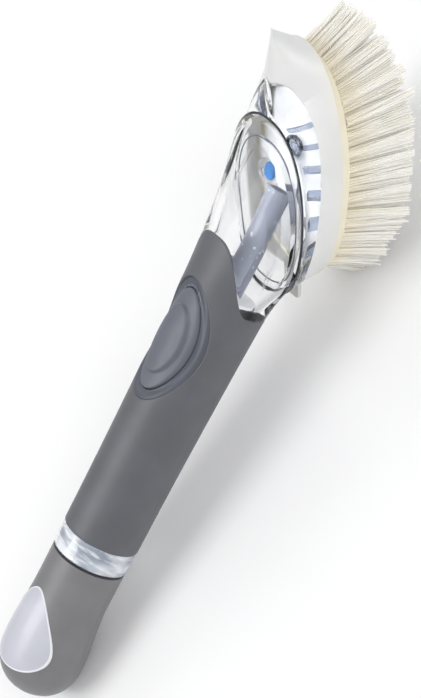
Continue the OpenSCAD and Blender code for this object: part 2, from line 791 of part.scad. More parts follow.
// One row of strands on its slice of the plate: cells of one strand each, as a single skin
module bristle_row(u, w0, w1) {
    n = max(1, round((w1 - w0) / strand_pitch));
    half = (strand_pitch - row_gap) / 2;
    edge = [for (k = [0 : n]) w0 + (w1 - w0) * k / n];
    left = [for (w = edge) [u - half, w, -slab_t]];
    right = [for (w = edge) [u + half, w, -slab_t]];
    top = [[u - half, w0, 0], [u + half, w0, 0], [u + half, w1, 0], [u - half, w1, 0]];
    mids = [for (k = [0 : n - 1]) (edge[k] + edge[k + 1]) / 2];
    roots = [for (w = mids, a = [-90, 30, 150]) [u + strand_r * cos(a), w + strand_r * sin(a), -slab_t]];
    tips = [for (w = mids, a = [-90, 30, 150]) let (d = way_down(u, w), full = strand_depth(u, w),
            q = [u + strand_r * cos(a), w + strand_r * sin(a), -slab_t], cut = cut_depth(q, d, full))
        q + d * cut - (cut < full ? 0 : tip_taper) * strand_r * [cos(a), sin(a), 0]];
    // Index of each point list in the joined list
    r0 = n + 1;
    t0 = 2 * (n + 1);
    b0 = t0 + 4;
    e0 = b0 + 3 * n;
    cells = [for (k = [0 : n - 1])
        let (a = k, b = r0 + k, c = r0 + k + 1, d = k + 1, p = b0 + 3 * k, q = e0 + 3 * k)
        each concat(
            [[a, b, p], [b, p + 1, p], [b, c, p + 1], [c, p + 2, p + 1], [c, d, p + 2], [d, a, p + 2],
                [a, p, p + 2], [q, q + 1, q + 2]],
            [for (i = [0 : 2]) let (j = (i + 1) % 3) each [[p + i, p + j, q + j], [p + i, q + j, q + i]]])];
    walls = [
        [t0, t0 + 3, t0 + 2, t0 + 1],
        concat([t0 + 3, t0], [for (k = [0 : n]) k]),
        concat([t0 + 1, t0 + 2], [for (k = [n : -1 : 0]) r0 + k]),
        [t0, t0 + 1, r0, 0],
        [t0 + 2, t0 + 3, n, r0 + n]];
    polyhedron(points = concat(left, right, top, roots, tips), faces = concat(cells, walls));
}

// Rows from first to last, each split where the soap outlet comes through
module bristle_rows(first, last) {
    color("#f4f1e6") on_plate() for (i = [first : last]) {
        u = row_u(i);
        w = row_half(u);
        hole = outlet_r + 1 + strand_pitch / 2;
        if (abs(u - outlet_u) < hole) {
            bristle_row(u, -w, -hole);
            bristle_row(u, hole, w);
        } else bristle_row(u, -w, w);
    }
}

module bristles_heel() { bristle_rows(0, 4); }
module bristles_back() { bristle_rows(5, 10); }
module bristles_middle() { bristle_rows(11, row_n - 12); }
module bristles_front() { bristle_rows(row_n - 11, row_n - 6); }
module bristles_toe() { bristle_rows(row_n - 5, row_n - 1); }

reservoir();
bulkhead();
inlet_valve();
grip_sleeve();
button_bezel();
pump_cup();
pump_bellows();
soap_duct();
nose_shell();
nose_deck();
valve_chamber();
valve_seat();
outlet_valve();
nose_seal();
band_ring();
button();
cap_washer();
end_cap();
cap_inlay();
cap_liner();
head_body();
head_hood();
bristle_plate();
soap_nozzle();
bristles_toe();
bristles_front();
bristles_middle();
bristles_back();
bristles_heel();
release_tab();
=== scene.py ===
import json
import math

import bmesh
import bpy
import numpy as np
from mathutils import Matrix


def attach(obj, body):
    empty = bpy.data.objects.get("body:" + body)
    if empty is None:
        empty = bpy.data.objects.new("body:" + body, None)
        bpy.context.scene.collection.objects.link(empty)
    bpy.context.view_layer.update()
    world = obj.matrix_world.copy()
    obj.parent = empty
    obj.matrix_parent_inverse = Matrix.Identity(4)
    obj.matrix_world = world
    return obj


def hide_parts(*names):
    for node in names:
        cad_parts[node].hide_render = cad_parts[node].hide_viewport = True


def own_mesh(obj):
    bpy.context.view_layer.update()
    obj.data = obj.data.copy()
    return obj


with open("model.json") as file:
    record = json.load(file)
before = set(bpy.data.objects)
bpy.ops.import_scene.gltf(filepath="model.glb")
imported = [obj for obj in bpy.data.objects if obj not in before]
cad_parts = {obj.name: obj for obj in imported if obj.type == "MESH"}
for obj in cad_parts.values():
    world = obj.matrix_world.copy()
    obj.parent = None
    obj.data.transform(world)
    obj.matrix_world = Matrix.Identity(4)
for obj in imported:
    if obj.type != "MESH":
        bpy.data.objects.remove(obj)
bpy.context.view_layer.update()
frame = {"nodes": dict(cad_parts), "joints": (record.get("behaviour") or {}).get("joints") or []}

RNG = np.random.default_rng(7)

# Sizes in mm, in the wand's or the plate's own coordinates.
X_BAND, X_GRIP, X_SIDE, X_BUTTON = 59.0, 68.2, 168.2, 149.0
X_NOSE = X_SIDE - 3
TONGUE = 22.0
GRIP_BACK_R, GRIP_FRONT_R, CORE_R, BORE_R = 14.7, 16.4, 13.0, 11.1
CAP_R, CAP_RIM_R, CAP_DOME, CAP_SWELL_END, CAP_DROOP = 16.1, 14.4, 17.0, 45.0, 1.3
CAP_SKIN_R = CAP_R - 0.08
X_CAP_RIM, X_SHOULDER, CAP_HOLLOW = 57.9, 43.2, 13.0
LINER_OUT, NECK_BORE, BAND_R = 13.25, 9.4, 14.5
INLAY_BACK, INLAY_LEN, INLAY_HALF_W = 9.5, 33.2, 13.3
BUTTON_A, BUTTON_B, PAD_A, PAD_B, PAD_H = 20.0, 9.8, 12.8, 6.8, 1.3
BEZEL_W, BEZEL_DROP, SKIRT_T, SKIRT_Z, BUTTON_Z = 3.6, 0.6, 1.2, 4.0, 8.1
GAP, SEAT = 0.3, 0.05
BELLOWS_FOOT, BUTTON_TRAVEL = -5.95, 3
HEAD_ANGLE = math.radians(31)
PLATE_X, PLATE_Z = 227.2, -4.5
RIM_A, RIM_B, RIM_U, RIM_E, RIM_H = 34.0, 23.5, -15.0, 2.25, 16.2
SEAL_T, NOSE_WALL = 1.1, 2.2
HOOD_A, HOOD_B, HOOD_U, HOOD_E, TOE_E = 44.7, 26.4, 0.3, 2.3, 2.0
PLATE_T, PLATE_INSET = 3.5, 1.2
TIP_U, TIP_H, CREST_TURN, ARCH_TURN, ARCH_LOW = 52.0, 16.9, math.radians(38), 23.0, 39
VALVE_U, VALVE_H, VALVE_A, VALVE_B, VALVE_DROP = -1.5, 15.2, 3.4, 2.1, 2.6
BRISTLE_LEN, LEAN_MID, LEAN_ENDS, LEAN_TOE, LEAN_SIDES = 24.5, 3.0, 21.0, 17.0, 14.0
FIELD_A, FIELD_B = HOOD_A - PLATE_INSET - 3.3, HOOD_B - PLATE_INSET / 2 - 2
OUTLET_U, OUTLET_R = 5.0, 3.0
SIDE_REACH = 28.0
SLEEVE_T, SLEEVE_PROUD, EDGE_ROUND, NOSE_POWER, NOSE_DIP = 1.45, 0.12, 0.55, 1.7, 1.7
BAND_RING_R, SEAL_H, WALL_T = 0.42, 0.53, 1.0
LINE_A, LINE_B, LINE_U, LINE_UP, LINE_R = 27.2, 18.8, -16.6, 0.6, 0.26
HOOD_WALL, TUB_WALL, TUB_TUCK = 0.95, 2.0, 1.2
RIB_TURNS = [-52, -66, -80, -94, -108, -122, -136, -150, -164, 52]
RIB_HALF_TURN, RIB_OUT, RIB_IN = 0.03, 1.9, 4.5
TAB_T, TAB_H, TAB_HALF_W, TAB_ROOT, TAB_REACH, TAB_FALL = 1.6, 4.95, 5.5, 2.8, 10.4, 0.5
STRAND_R, TUFT_PITCH, TUFT_STRANDS, TUFT_R = 0.27, 3.25, 22, 1.45
GROUP_PITCH, GROUP_ROWS, GROUP_CUTS = 2.85, 14.5, (5, 11, 18, 24)
PHOTO_ROWS, FOCAL_PX, CAMERA_FAR, CAMERA_AT = 698, 1963.34, 700, 145.0
CAMERA_UP, CAMERA_RIGHT, CAMERA_PHI, CAMERA_PSI, CAMERA_ROLL = 2.249, 5.857, 0.824, 0.2621, 0.4789


# Places.
def wand_frame():
    """Origin and the three axes of the wand in the row frame, from the hinge that turns the cap:
    the hinge stands at x = 45 mm on the handle's axis and points back along it."""
    hinge = next(j for j in frame["joints"] if j["name"] == "cap_turn")
    x = -np.array(hinge["axis"], float)
    x /= np.linalg.norm(x)
    y = np.array([0.0, 1.0, 0.0])
    z = np.cross(x, y)
    return np.array(hinge["pos_m"], float) - 0.045 * x, np.array([x, y, z])


ORIGIN, AXES = wand_frame()


def wand(x, y, z):
    """Points of the row frame, in metres, from wand coordinates in mm: origin + (x, y, z) . axes / 1000.
    In wand coordinates x runs along the handle from the cap's end, y across, and z to the button."""
    xyz = np.stack(np.broadcast_arrays(np.asarray(x, float), y, z), -1)
    return ORIGIN + xyz @ AXES / 1000


def from_plate(u, w, h):
    """Wand coordinates of plate coordinates: u to the toe, w across, h away from the bristles, turned
    by the head's angle about y: x = X + u cos a - h sin a, z = Z + u sin a + h cos a."""
    c, s = math.cos(HEAD_ANGLE), math.sin(HEAD_ANGLE)
    u, w, h = np.broadcast_arrays(np.asarray(u, float), w, h)
    return PLATE_X + u * c - h * s, w, PLATE_Z + u * s + h * c


def on_plate(u, w, h):
    """Points of the row frame from plate coordinates."""
    return wand(*from_plate(u, w, h))


def turn(n):
    """n angles of one full turn."""
    return np.arange(n) * 2 * math.pi / n


def oval(t, a, b, e=2.0, u=0.0, front_e=None):
    """Points of a closed oval: (u + a |cos t|^(2/e) sign, b |sin t|^(2/e) sign), where the front half
    may have its own exponent."""
    c, s = np.cos(t), np.sin(t)
    k = np.where(c > 0, front_e or e, e)
    return u + a * np.sign(c) * np.abs(c) ** (2 / k), b * np.sign(s) * np.abs(s) ** (2 / k)


def ease(x):
    """Smooth step: 3 x^2 - 2 x^3 between 0 and 1."""
    x = np.clip(x, 0, 1)
    return x * x * (3 - 2 * x)


# Meshes and pieces.
def fill_mesh(name, points, faces):
    """A mesh from an array of points and arrays of three or four sided faces; points that fall together
    are joined, and a closed form whose volume, the sum of p0 . (p1 x p2) / 6, is negative is turned
    right side out."""
    mesh = bpy.data.meshes.new(name)
    mesh.from_pydata(points.reshape(-1, 3).tolist(), [], [f for part in faces for f in part.tolist()])
    form = bmesh.new()
    form.from_mesh(mesh)
    bmesh.ops.remove_doubles(form, verts=form.verts, dist=2e-6)
    bmesh.ops.dissolve_degenerate(form, edges=form.edges, dist=1e-7)
    if form.calc_volume(signed=True) < 0:
        bmesh.ops.reverse_faces(form, faces=form.faces)
    form.to_mesh(mesh)
    form.free()
    return mesh


def grid_faces(rows, cols, close_rows, keep=None):
    """Faces of a grid of rows x cols points whose columns go round, as indices; keep is a mask of the
    quads that stay."""
    i, j = np.meshgrid(np.arange(rows if close_rows else rows - 1), np.arange(cols), indexing="ij")
    i2, j2 = (i + 1) % rows, (j + 1) % cols
    quads = np.stack([i * cols + j, i2 * cols + j, i2 * cols + j2, i * cols + j2], -1)
    return (quads if keep is None else quads[keep]).reshape(-1, 4)


def finish_piece(mesh, name, look, body, nodes, sharp=38):
    """Puts the mesh into the scene, smooth but for edges sharper than the angle in degrees, and ties it
    to its body and the nodes that it stands for."""
    mesh.shade_smooth()
    mesh.set_sharp_from_angle(angle=math.radians(sharp))
    obj = bpy.data.objects.new(name, mesh)
    bpy.context.scene.collection.objects.link(obj)
    mesh.materials.clear()
    mesh.materials.append(look)
    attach(obj, body)
    if nodes:
        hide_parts(*nodes)
    return obj


def skin(name, points, look, body, nodes=(), close_rows=False, keep=None, sharp=38):
    """A piece from one grid of points, whose rows are closed rings."""
    faces = grid_faces(*points.shape[:2], close_rows, keep)
    return finish_piece(fill_mesh(name, points, [faces]), name, look, body, nodes, sharp)


def dressed(node, look, body):
    """A smooth copy of a CAD node: its loose triangles are joined and its round faces shaded smooth."""
    mesh = frame["nodes"][node].data.copy()
    form = bmesh.new()
    form.from_mesh(mesh)
    bmesh.ops.remove_doubles(form, verts=form.verts, dist=2e-6)
    form.to_mesh(mesh)
    form.free()
    return finish_piece(mesh, node + "_dressed", look, body, [node], 32)


# Materials.
class Wire:
    """A shader socket that can be added, multiplied and so on; each operator adds its Math node."""

    def __init__(self, look, socket):
        self.look, self.socket = look, socket

    def math(self, operation, *others):
        values = dict(enumerate((self,) + others))
        return self.look.node("ShaderNodeMath", {"operation": operation}, values)

    def __add__(self, other):
        return self.math("ADD", other)

    __radd__ = __add__

    def __mul__(self, other):
        return self.math("MULTIPLY", other)

    __rmul__ = __mul__

    def __sub__(self, other):
        return self.math("SUBTRACT", other)

    def __rsub__(self, other):
        return self.look.node("ShaderNodeMath", {"operation": "SUBTRACT"}, {0: other, 1: self})

    def __pow__(self, other):
        return self.math("POWER", other)

    def step(self, low, high):
        """0 below low, 1 above high, smooth between."""
        return self.look.node("ShaderNodeMapRange", {"interpolation_type": "SMOOTHSTEP"},
                              {"Value": self, "From Min": low, "From Max": high})


class Look:
    """A node material: a Principled shader, and the nodes that drive it."""

    def __init__(self, name, roughness=0.5, **constants):
        self.material = bpy.data.materials.new(name)
        self.material.use_nodes = True
        self.tree = self.material.node_tree
        self.shader = self.tree.nodes["Principled BSDF"]
        self.out = self.tree.nodes["Material Output"]
        self.shader.inputs["Roughness"].default_value = roughness
        for key, value in constants.items():
            self.shader.inputs[key.replace("_", " ")].default_value = value

    def node(self, kind, settings=None, values=None, out=0):
        node = self.tree.nodes.new(kind)
        for key, value in (settings or {}).items():
            setattr(node, key, value)
        for key, value in (values or {}).items():
            self.feed(node.inputs[key], value)
        return Wire(self, node.outputs[out])

    def feed(self, socket, value):
        if isinstance(value, Wire):
            self.tree.links.new(value.socket, socket)
        else:
            socket.default_value = value

    def place(self):
        return self.node("ShaderNodeTexCoord", out="Object")

    def noise(self, size_mm, detail=2.0, stretch=(1, 1, 1), rough=0.5):
        """Noise whose lumps are about size_mm across, stretched along the row's axes."""
        where = self.node("ShaderNodeMapping", None, {"Vector": self.place(), "Scale": stretch})
        return self.node("ShaderNodeTexNoise", None, {
            "Vector": where, "Scale": 1000 / size_mm, "Detail": detail, "Roughness": rough})

    def attribute(self, name):
        return self.node("ShaderNodeAttribute", {"attribute_name": name}, out="Fac")

    def mix(self, factor, a, b):
        """Colour a where factor is 0 and b where it is 1."""
        node = self.tree.nodes.new("ShaderNodeMix")
        node.data_type = "RGBA"
        for socket, value in ((node.inputs["Factor"], factor), (node.inputs[6], a), (node.inputs[7], b)):
            self.feed(socket, value if isinstance(value, (Wire, float, int)) else (*value, 1))
        return Wire(self, node.outputs[2])

    def set(self, **sockets):
        for key, value in sockets.items():
            self.feed(self.shader.inputs[key.replace("_", " ")], value)

    def bump(self, height, strength, depth_mm):
        self.set(Normal=self.node("ShaderNodeBump", None, {
            "Height": height, "Strength": strength, "Distance": depth_mm / 1000}))

    def let_light_through(self, tint):
        """Lamp light passes straight through, so clear walls cast pale shadows."""
        clear = self.node("ShaderNodeBsdfTransparent", None, {"Color": (*tint, 1)})
        lamp = self.node("ShaderNodeLightPath", out="Is Shadow Ray")
        both = self.node("ShaderNodeMixShader", None, {
            0: lamp, 1: Wire(self, self.shader.outputs[0]), 2: clear})
        self.tree.links.new(both.socket, self.out.inputs["Surface"])


def srgb(r, g, b):
    """Linear colour of an 8 bit screen colour."""
    c = np.array([r, g, b]) / 255
    return tuple(float(v) for v in np.where(c <= 0.04045, c / 12.92, ((c + 0.055) / 1.055) ** 2.4))


def moulded(name, colour, shade, roughness, grain_mm=0.5, grain=0.15, depth_mm=0.02, **constants):
    """Moulded plastic or rubber: a slow drift between two colours, uneven gloss and a fine grain."""
    look = Look(name, roughness, **constants)
    drift = look.noise(14, 3)
    fine = look.noise(grain_mm, 2, rough=0.6)
    look.set(Base_Color=look.mix(drift.step(0.3, 0.7), colour, shade),
             Roughness=look.noise(5, 2) * 0.1 + (roughness - 0.05))
    look.bump(fine, grain, depth_mm)
    return look.material


def clear_plastic(name, tint, roughness=0.03, swirl=0.12, depth_mm=0.35, swirl_mm=9, ior=1.2, coat=0.0,
                  alpha=1.0):
    """Clear moulded plastic with the faint swirl of its mould; its roughness varies a little."""
    look = Look(name, roughness, Transmission_Weight=1.0, IOR=ior, Coat_Weight=coat, Alpha=alpha)
    flow = look.noise(swirl_mm, 1.5, (1, 1, 1.6))
    look.set(Base_Color=look.mix(flow.step(0.35, 0.75), tint, tuple(0.96 * v for v in tint)),
             Roughness=flow * 0.03 + roughness)
    look.bump(flow, swirl, depth_mm)
    look.let_light_through((0.998, 0.998, 1.0))
    return look.material


def hood_plastic():
    """Milky hood plastic that turns creamy near the bristle plate."""
    look = Look("hood_plastic", 0.34, Subsurface_Weight=0.2, Subsurface_Scale=0.003,
                Subsurface_Radius=(1.0, 0.95, 0.8))
    low = look.attribute("height")
    cloud = look.noise(18, 3)
    tone = look.mix(low.step(0.1, 0.45), srgb(235, 231, 222), srgb(229, 229, 227))
    look.set(Base_Color=look.mix(cloud.step(0.3, 0.8) * 0.5, tone, srgb(223, 223, 220)),
             Roughness=look.noise(6, 2) * 0.12 + 0.28)
    look.bump(look.noise(1.2, 2), 0.08, 0.03)
    return look.material


def bristle_nylon():
    """Strands: creamy and darker at the root as painted shade, near white at the tip, each with its own
    random tone.
    """
    # The faint warm emission is a painted glow that lifts the shade between the strands.
    look = Look("bristle_nylon", 0.42, Transmission_Weight=0.25, IOR=1.25,
                Emission_Color=(1.0, 0.97, 0.9, 1), Emission_Strength=0.035)
    along, shade = look.attribute("along"), look.attribute("shade")
    # Creamy, darker roots: painted shade where the strands crowd at the plate.
    tone = look.mix(along.step(0.0, 0.6), srgb(250, 243, 224), srgb(254, 253, 249))
    look.set(Base_Color=look.mix(shade ** 2.0 * 0.5, tone, srgb(248, 242, 226)),
             Roughness=shade * 0.2 + 0.45)
    return look.material


def duct_film():
    """Blue-grey duct with small pale bubbles near its start in the nose."""
    look = Look("duct_film", 0.38)
    cells = look.node("ShaderNodeTexVoronoi", None, {"Vector": look.place(), "Scale": 420.0})
    patch = look.noise(9, 2).step(0.52, 0.62)
    bubbles = (1 - cells.step(0.12, 0.3)) * patch
    look.set(Base_Color=look.mix(bubbles, srgb(150, 155, 170), srgb(215, 219, 228)),
             Roughness=bubbles * 0.2 + 0.35)
    look.bump(bubbles, 0.3, 0.2)
    return look.material


def band_painted_refraction():
    """The band over the thread: pale with smooth blue-grey streaks that run round the handle, which are
    painted refraction on an opaque finish.
    """
    look = Look("band_painted_refraction", 0.1, Coat_Weight=0.4)
    # The blue-grey streaks are painted shade and the fine pale ones painted light, standing in for the
    # clear band's refraction.
    streaks = look.noise(7, 2.2, (1.0, 0.45, 0.45)).step(0.38, 0.66)
    fine = look.noise(2.6, 2, (1.6, 0.4, 0.4)).step(0.5, 0.72)
    tone = look.mix(streaks, srgb(232, 236, 240), srgb(150, 158, 172))
    look.set(Base_Color=look.mix(fine * 0.6, tone, srgb(246, 248, 250)), Roughness=streaks * 0.08 + 0.08)
    look.bump(streaks, 0.25, 0.3)
    return look.material


def floor_paint():
    """Pale studio floor with a trace of unevenness."""
    look = Look("studio_floor", 0.75)
    look.set(Base_Color=look.mix(look.noise(60, 2), srgb(246, 246, 246), srgb(243, 243, 244)))
    return look.material


CLEAR = clear_plastic("clear_plastic", (0.996, 0.998, 1.0), 0.01, coat=0.05)
CLEAR_INNER = clear_plastic("clear_inner_plastic", (0.996, 0.998, 1.0), 0.0, 0.05, ior=1.08)
BAND_CLEAR = clear_plastic("band_plastic", (0.93, 0.945, 0.96), 0.05, 0.1, 0.4, 11)
# Dark blue-grey tint: painted shade, for the ribs and the nozzle inside the clear head.
RIB_SHADE_CLEAR = clear_plastic("rib_plastic_painted_shade", (0.5, 0.56, 0.68), 0.03)
CHAMBER_CLEAR = clear_plastic("chamber_plastic", (0.95, 0.96, 0.98), 0.0, 0.0, ior=1.04, alpha=0.3)
SEAT_CLEAR = clear_plastic("seat_plastic", (0.95, 0.96, 0.98), 0.0, 0.0, ior=1.03)
# Opaque band finish whose streaks are painted refraction.
BAND_PAINTED_REFRACTION = band_painted_refraction()
LINE_GREY = moulded("line_plastic", srgb(96, 102, 118), srgb(86, 92, 108), 0.4, 0.5, 0.05)
TUB_WHITE = moulded("tub_white", srgb(250, 251, 253), srgb(243, 245, 249), 0.4, 0.5, 0.05)
GRIP_RUBBER = moulded("grip_rubber", srgb(97, 98, 103), srgb(92, 93, 97), 0.47, 0.35, 0.2)
BEZEL = moulded("bezel_plastic", srgb(84, 88, 99), srgb(79, 83, 93), 0.42, 0.4, 0.1)
BUTTON = moulded("button_plastic", srgb(104, 107, 117), srgb(98, 101, 111), 0.45, 0.4, 0.12)
CAP = moulded("cap_plastic", srgb(125, 124, 126), srgb(119, 118, 120), 0.43, 0.35, 0.15)
INLAY = moulded("inlay_plastic", srgb(199, 200, 210), srgb(193, 194, 204), 0.3, 0.3, 0.05)
# The inlay rim's pale colour is a painted highlight on its bevel.
INLAY_RIM_HIGHLIGHT = moulded("inlay_rim_painted_highlight", srgb(236, 237, 240), srgb(231, 232, 236), 0.3, 0.3, 0.05)
LINER = moulded("liner_plastic", srgb(200, 203, 208), srgb(192, 195, 200), 0.4)
DARK_RUBBER = moulded("dark_rubber", srgb(38, 42, 52), srgb(32, 35, 42), 0.35, 0.4, 0.1)
BLUE_RUBBER = moulded("blue_rubber", srgb(0, 146, 234), srgb(0, 136, 224), 0.55, 0.4, 0.1,
                      Specular_IOR_Level=0.1)
PALE_RUBBER = moulded("pale_rubber", srgb(214, 216, 219), srgb(205, 207, 210), 0.5, 0.4, 0.15)
PLATE = moulded("plate_plastic", srgb(241, 234, 210), srgb(236, 228, 202), 0.38, 0.5, 0.1)
TAB = moulded("tab_plastic", srgb(222, 222, 218), srgb(214, 214, 209), 0.35, 0.5, 0.08)
HOOD = hood_plastic()
NYLON = bristle_nylon()
DUCT = duct_film()


# The handle's outer form.
def grip_r(x):
    """Radius of the grip: 14.7 mm at the band, swelling to 16.4 mm at the nose as the power 1.8."""
    s = np.clip((x - X_GRIP) / (X_SIDE - X_GRIP), 0, 1)
    return GRIP_BACK_R + (GRIP_FRONT_R - GRIP_BACK_R) * s ** 1.8


def nose_rim(t, inset=0.0):
    """The nose's slanted rim in wand coordinates."""
    u, w = oval(t, RIM_A - inset, RIM_B - inset, RIM_E, RIM_U)
    return from_plate(u, w, RIM_H + GAP + SEAL_T)


def outer_form(x, t, out=0.0):
    """The handle's outside at x and turn t, out mm proud: a circle of radius grip_r that blends by the
    power 1.7 into the nose's slanted rim."""
    ex, ey, ez = nose_rim(t)
    s = np.clip((x - X_NOSE) / (ex - X_NOSE), 0, 1)
    f = s ** NOSE_POWER
    r = grip_r(x)
    y = r * np.sin(t) * (1 - f) + ey * f
    z = r * np.cos(t) * (1 - f) + ez * f
    k = 1 + out / np.hypot(y, z)
    return x, y * k, z * k


def sleeve_edge(t):
    """x where the soft grip ends: a rounded tongue on the button side, a straight edge below."""
    side = np.where(np.cos(t) > 0, np.abs(np.sin(t)), 1.0)
    return X_SIDE + TONGUE * (1 - side ** 2.9)


def grip_sleeve():
    """Soft sleeve: the sheet between the button's oval window and its own edge, unrolled from the
    handle. Each column runs from the window W to the edge B as W + (B - W) s; both edges are rounded by
    0.55 mm, and the sheet is 1.45 mm thick. The two long sides of the sheet meet below the handle."""
    unroll = 15.8
    half_turn = math.pi * unroll
    front = np.linspace(-math.pi, math.pi, 201)
    side = np.linspace(0, 1, 50)[1:-1]
    back = np.linspace(math.pi, -math.pi, 121)
    start = X_GRIP + SEAT
    edge_x = np.concatenate([sleeve_edge(front), X_SIDE + (start - X_SIDE) * side,
                             np.full(back.size, start), start + (X_SIDE - start) * side])
    edge_a = np.concatenate([front * unroll, np.full(side.size, half_turn), back * unroll,
                             np.full(side.size, -half_turn)])
    n = edge_x.size
    at_seam = np.zeros(n, bool)
    at_seam[front.size:front.size + side.size] = True
    at_seam[-side.size:] = True
    window_a, window_b = BUTTON_A + GAP + BEZEL_W + SEAT, BUTTON_B + GAP + BEZEL_W + SEAT
    way = np.arctan2(edge_a / window_b, (edge_x - X_BUTTON) / window_a)
    window_turn = np.arcsin(np.clip(window_b * np.sin(way) / grip_r(X_BUTTON), -1, 1))
    window = np.stack([X_BUTTON + window_a * np.cos(way), unroll * window_turn], -1)
    edge = np.stack([edge_x, edge_a], -1)
    length = np.linalg.norm(edge - window, axis=1)
    round_in = np.array([0.0, 0.04, 0.16, 0.33, EDGE_ROUND])
    round_down = round_in[::-1]
    flat = np.linspace(0, 1, 42)[1:-1]
    rows, depths = [], []
    live = np.where(at_seam, 0.0, 1.0)
    for off, down in zip(round_in, round_down):
        rows.append(off / length)
        depths.append(np.full(n, down))
    for s in flat:
        rows.append(EDGE_ROUND / length + s * (1 - (EDGE_ROUND + EDGE_ROUND * live) / length))
        depths.append(np.zeros(n))
    for off, down in zip(round_in[::-1], round_down[::-1]):
        rows.append(1 - off * live / length)
        depths.append(down * live)
    outside = len(rows)
    for s in (1.0, 0.66, 0.33, 0.0):
        rows.append(np.full(n, s))
        depths.append(np.full(n, SLEEVE_T))
    share, depth = np.array(rows)[..., None], np.array(depths)
    flat_place = window + (edge - window) * share
    x, t = flat_place[..., 0], flat_place[..., 1] / unroll
    points = wand(*outer_form(x, t, SLEEVE_PROUD - depth))
    keep = np.ones((len(rows), n), bool)
    seam_pair = at_seam | np.roll(at_seam, -1)
    keep[outside - 1, seam_pair] = False
    return skin("grip_sleeve_skin", points, GRIP_RUBBER, "handle", ["grip_sleeve"],
                close_rows=True, keep=keep)


def button_rings(rows, n=128):
    """Rings round the button: each row is (half length, half width, radius or None, height): the ring
    lies on a cylinder of that radius about the handle's axis, z = sqrt(r^2 - y^2) but 4 mm or more, or
    level at height."""
    t = turn(n)
    rings = []
    for a, b, r, z in rows:
        x, y = oval(t, a, b)
        level = z if r is None else np.sqrt(np.maximum(r * r - y * y, 16))
        rings.append(wand(X_BUTTON + x, y, level))
    return np.array(rings)


def button_bezel():
    """Dished oval frame: rounded outer edge, a hollow that falls towards the button, and its skirt."""
    a, b, r = BUTTON_A + GAP, BUTTON_B + GAP, float(grip_r(X_BUTTON)) - BEZEL_DROP
    inner = CORE_R + SEAT
    rows = [(a + BEZEL_W, b + BEZEL_W, inner, 0), (a + BEZEL_W, b + BEZEL_W, r + 0.05, 0),
            (a + BEZEL_W - 0.1, b + BEZEL_W - 0.1, r + 0.22, 0),
            (a + BEZEL_W - 0.35, b + BEZEL_W - 0.35, r + 0.25, 0)]
    for s in np.linspace(0, 1, 9):
        d = BEZEL_W - 0.7 - (BEZEL_W - 1.2) * s
        hollow = 0.75 * math.sin(math.pi * (0.5 + 0.5 * s) - math.pi / 2) ** 2
        rows.append((a + d, b + d, r + 0.15 - hollow, 0))
    rows += [(a + 0.25, b + 0.25, r - 0.62, 0), (a + 0.06, b + 0.06, r - 0.75, 0), (a, b, r - 1.0, 0),
             (a, b, None, SKIRT_Z), (a + SKIRT_T, b + SKIRT_T, None, SKIRT_Z),
             (a + SKIRT_T, b + SKIRT_T, inner, 0)]
    return skin("button_bezel_skin", button_rings(rows), BEZEL, "handle",
                ["button_bezel"], close_rows=True)


def push_button():
    """Push button: rounded edge, a shallow moat, and a raised thumb pad with a soft crowned top."""
    r = float(grip_r(X_BUTTON)) - BEZEL_DROP
    edge, moat = 0.7, 0.12
    rows = [(0.0, 0.0, None, BUTTON_Z), (BUTTON_A - 0.3, BUTTON_B - 0.3, None, BUTTON_Z),
            (BUTTON_A, BUTTON_B, None, BUTTON_Z + 0.3)]
    for k in np.linspace(0, math.pi / 2, 6):
        rows.append((BUTTON_A - edge * (1 - math.cos(k)), BUTTON_B - edge * (1 - math.cos(k)),
                     r - edge + edge * math.sin(k), 0))
    moat_a, moat_b = PAD_A + 1.2, PAD_B + 0.9
    for s in np.linspace(0.2, 1, 5):
        rows.append((BUTTON_A - edge + (moat_a - BUTTON_A + edge) * s,
                     BUTTON_B - edge + (moat_b - BUTTON_B + edge) * s, r - moat * s, 0))
    for k in np.linspace(0.2, 1, 7):
        rise = float(ease(k))
        rows.append((moat_a - 1.2 * k, moat_b - 0.9 * k, r - moat + (PAD_H * 0.8 + moat) * rise, 0))
    for s in np.linspace(0.1, 1, 12):
        crown = PAD_H * 0.2 * float(ease(s * 1.6))
        rows.append((PAD_A * (1 - s), PAD_B * (1 - s), r + PAD_H * 0.8 + crown, 0))
    return skin("button_skin", button_rings(rows), BUTTON, "button", ["button"])


# The cap end.
def cap_r(x):
    """Radius of the cap: a round end of exponent 2.3, then a cosine down to the rim."""
    dome = CAP_SKIN_R * (1 - np.abs(1 - np.clip(x / CAP_DOME, 0, 1)) ** 2.3) ** (1 / 2.3)
    slope = CAP_RIM_R + (CAP_SKIN_R - CAP_RIM_R) * (0.5 + 0.5 * np.cos(
        math.pi * np.clip((x - CAP_DOME) / (CAP_SWELL_END - CAP_DOME), 0, 1)))
    return np.where(x < CAP_DOME, dome, slope)


def cap_z(x):
    """Height of the cap's centre: the round end hangs 1.3 mm low."""
    return -CAP_DROOP * (0.5 + 0.5 * np.cos(math.pi * np.clip(x / CAP_SWELL_END, 0, 1)))


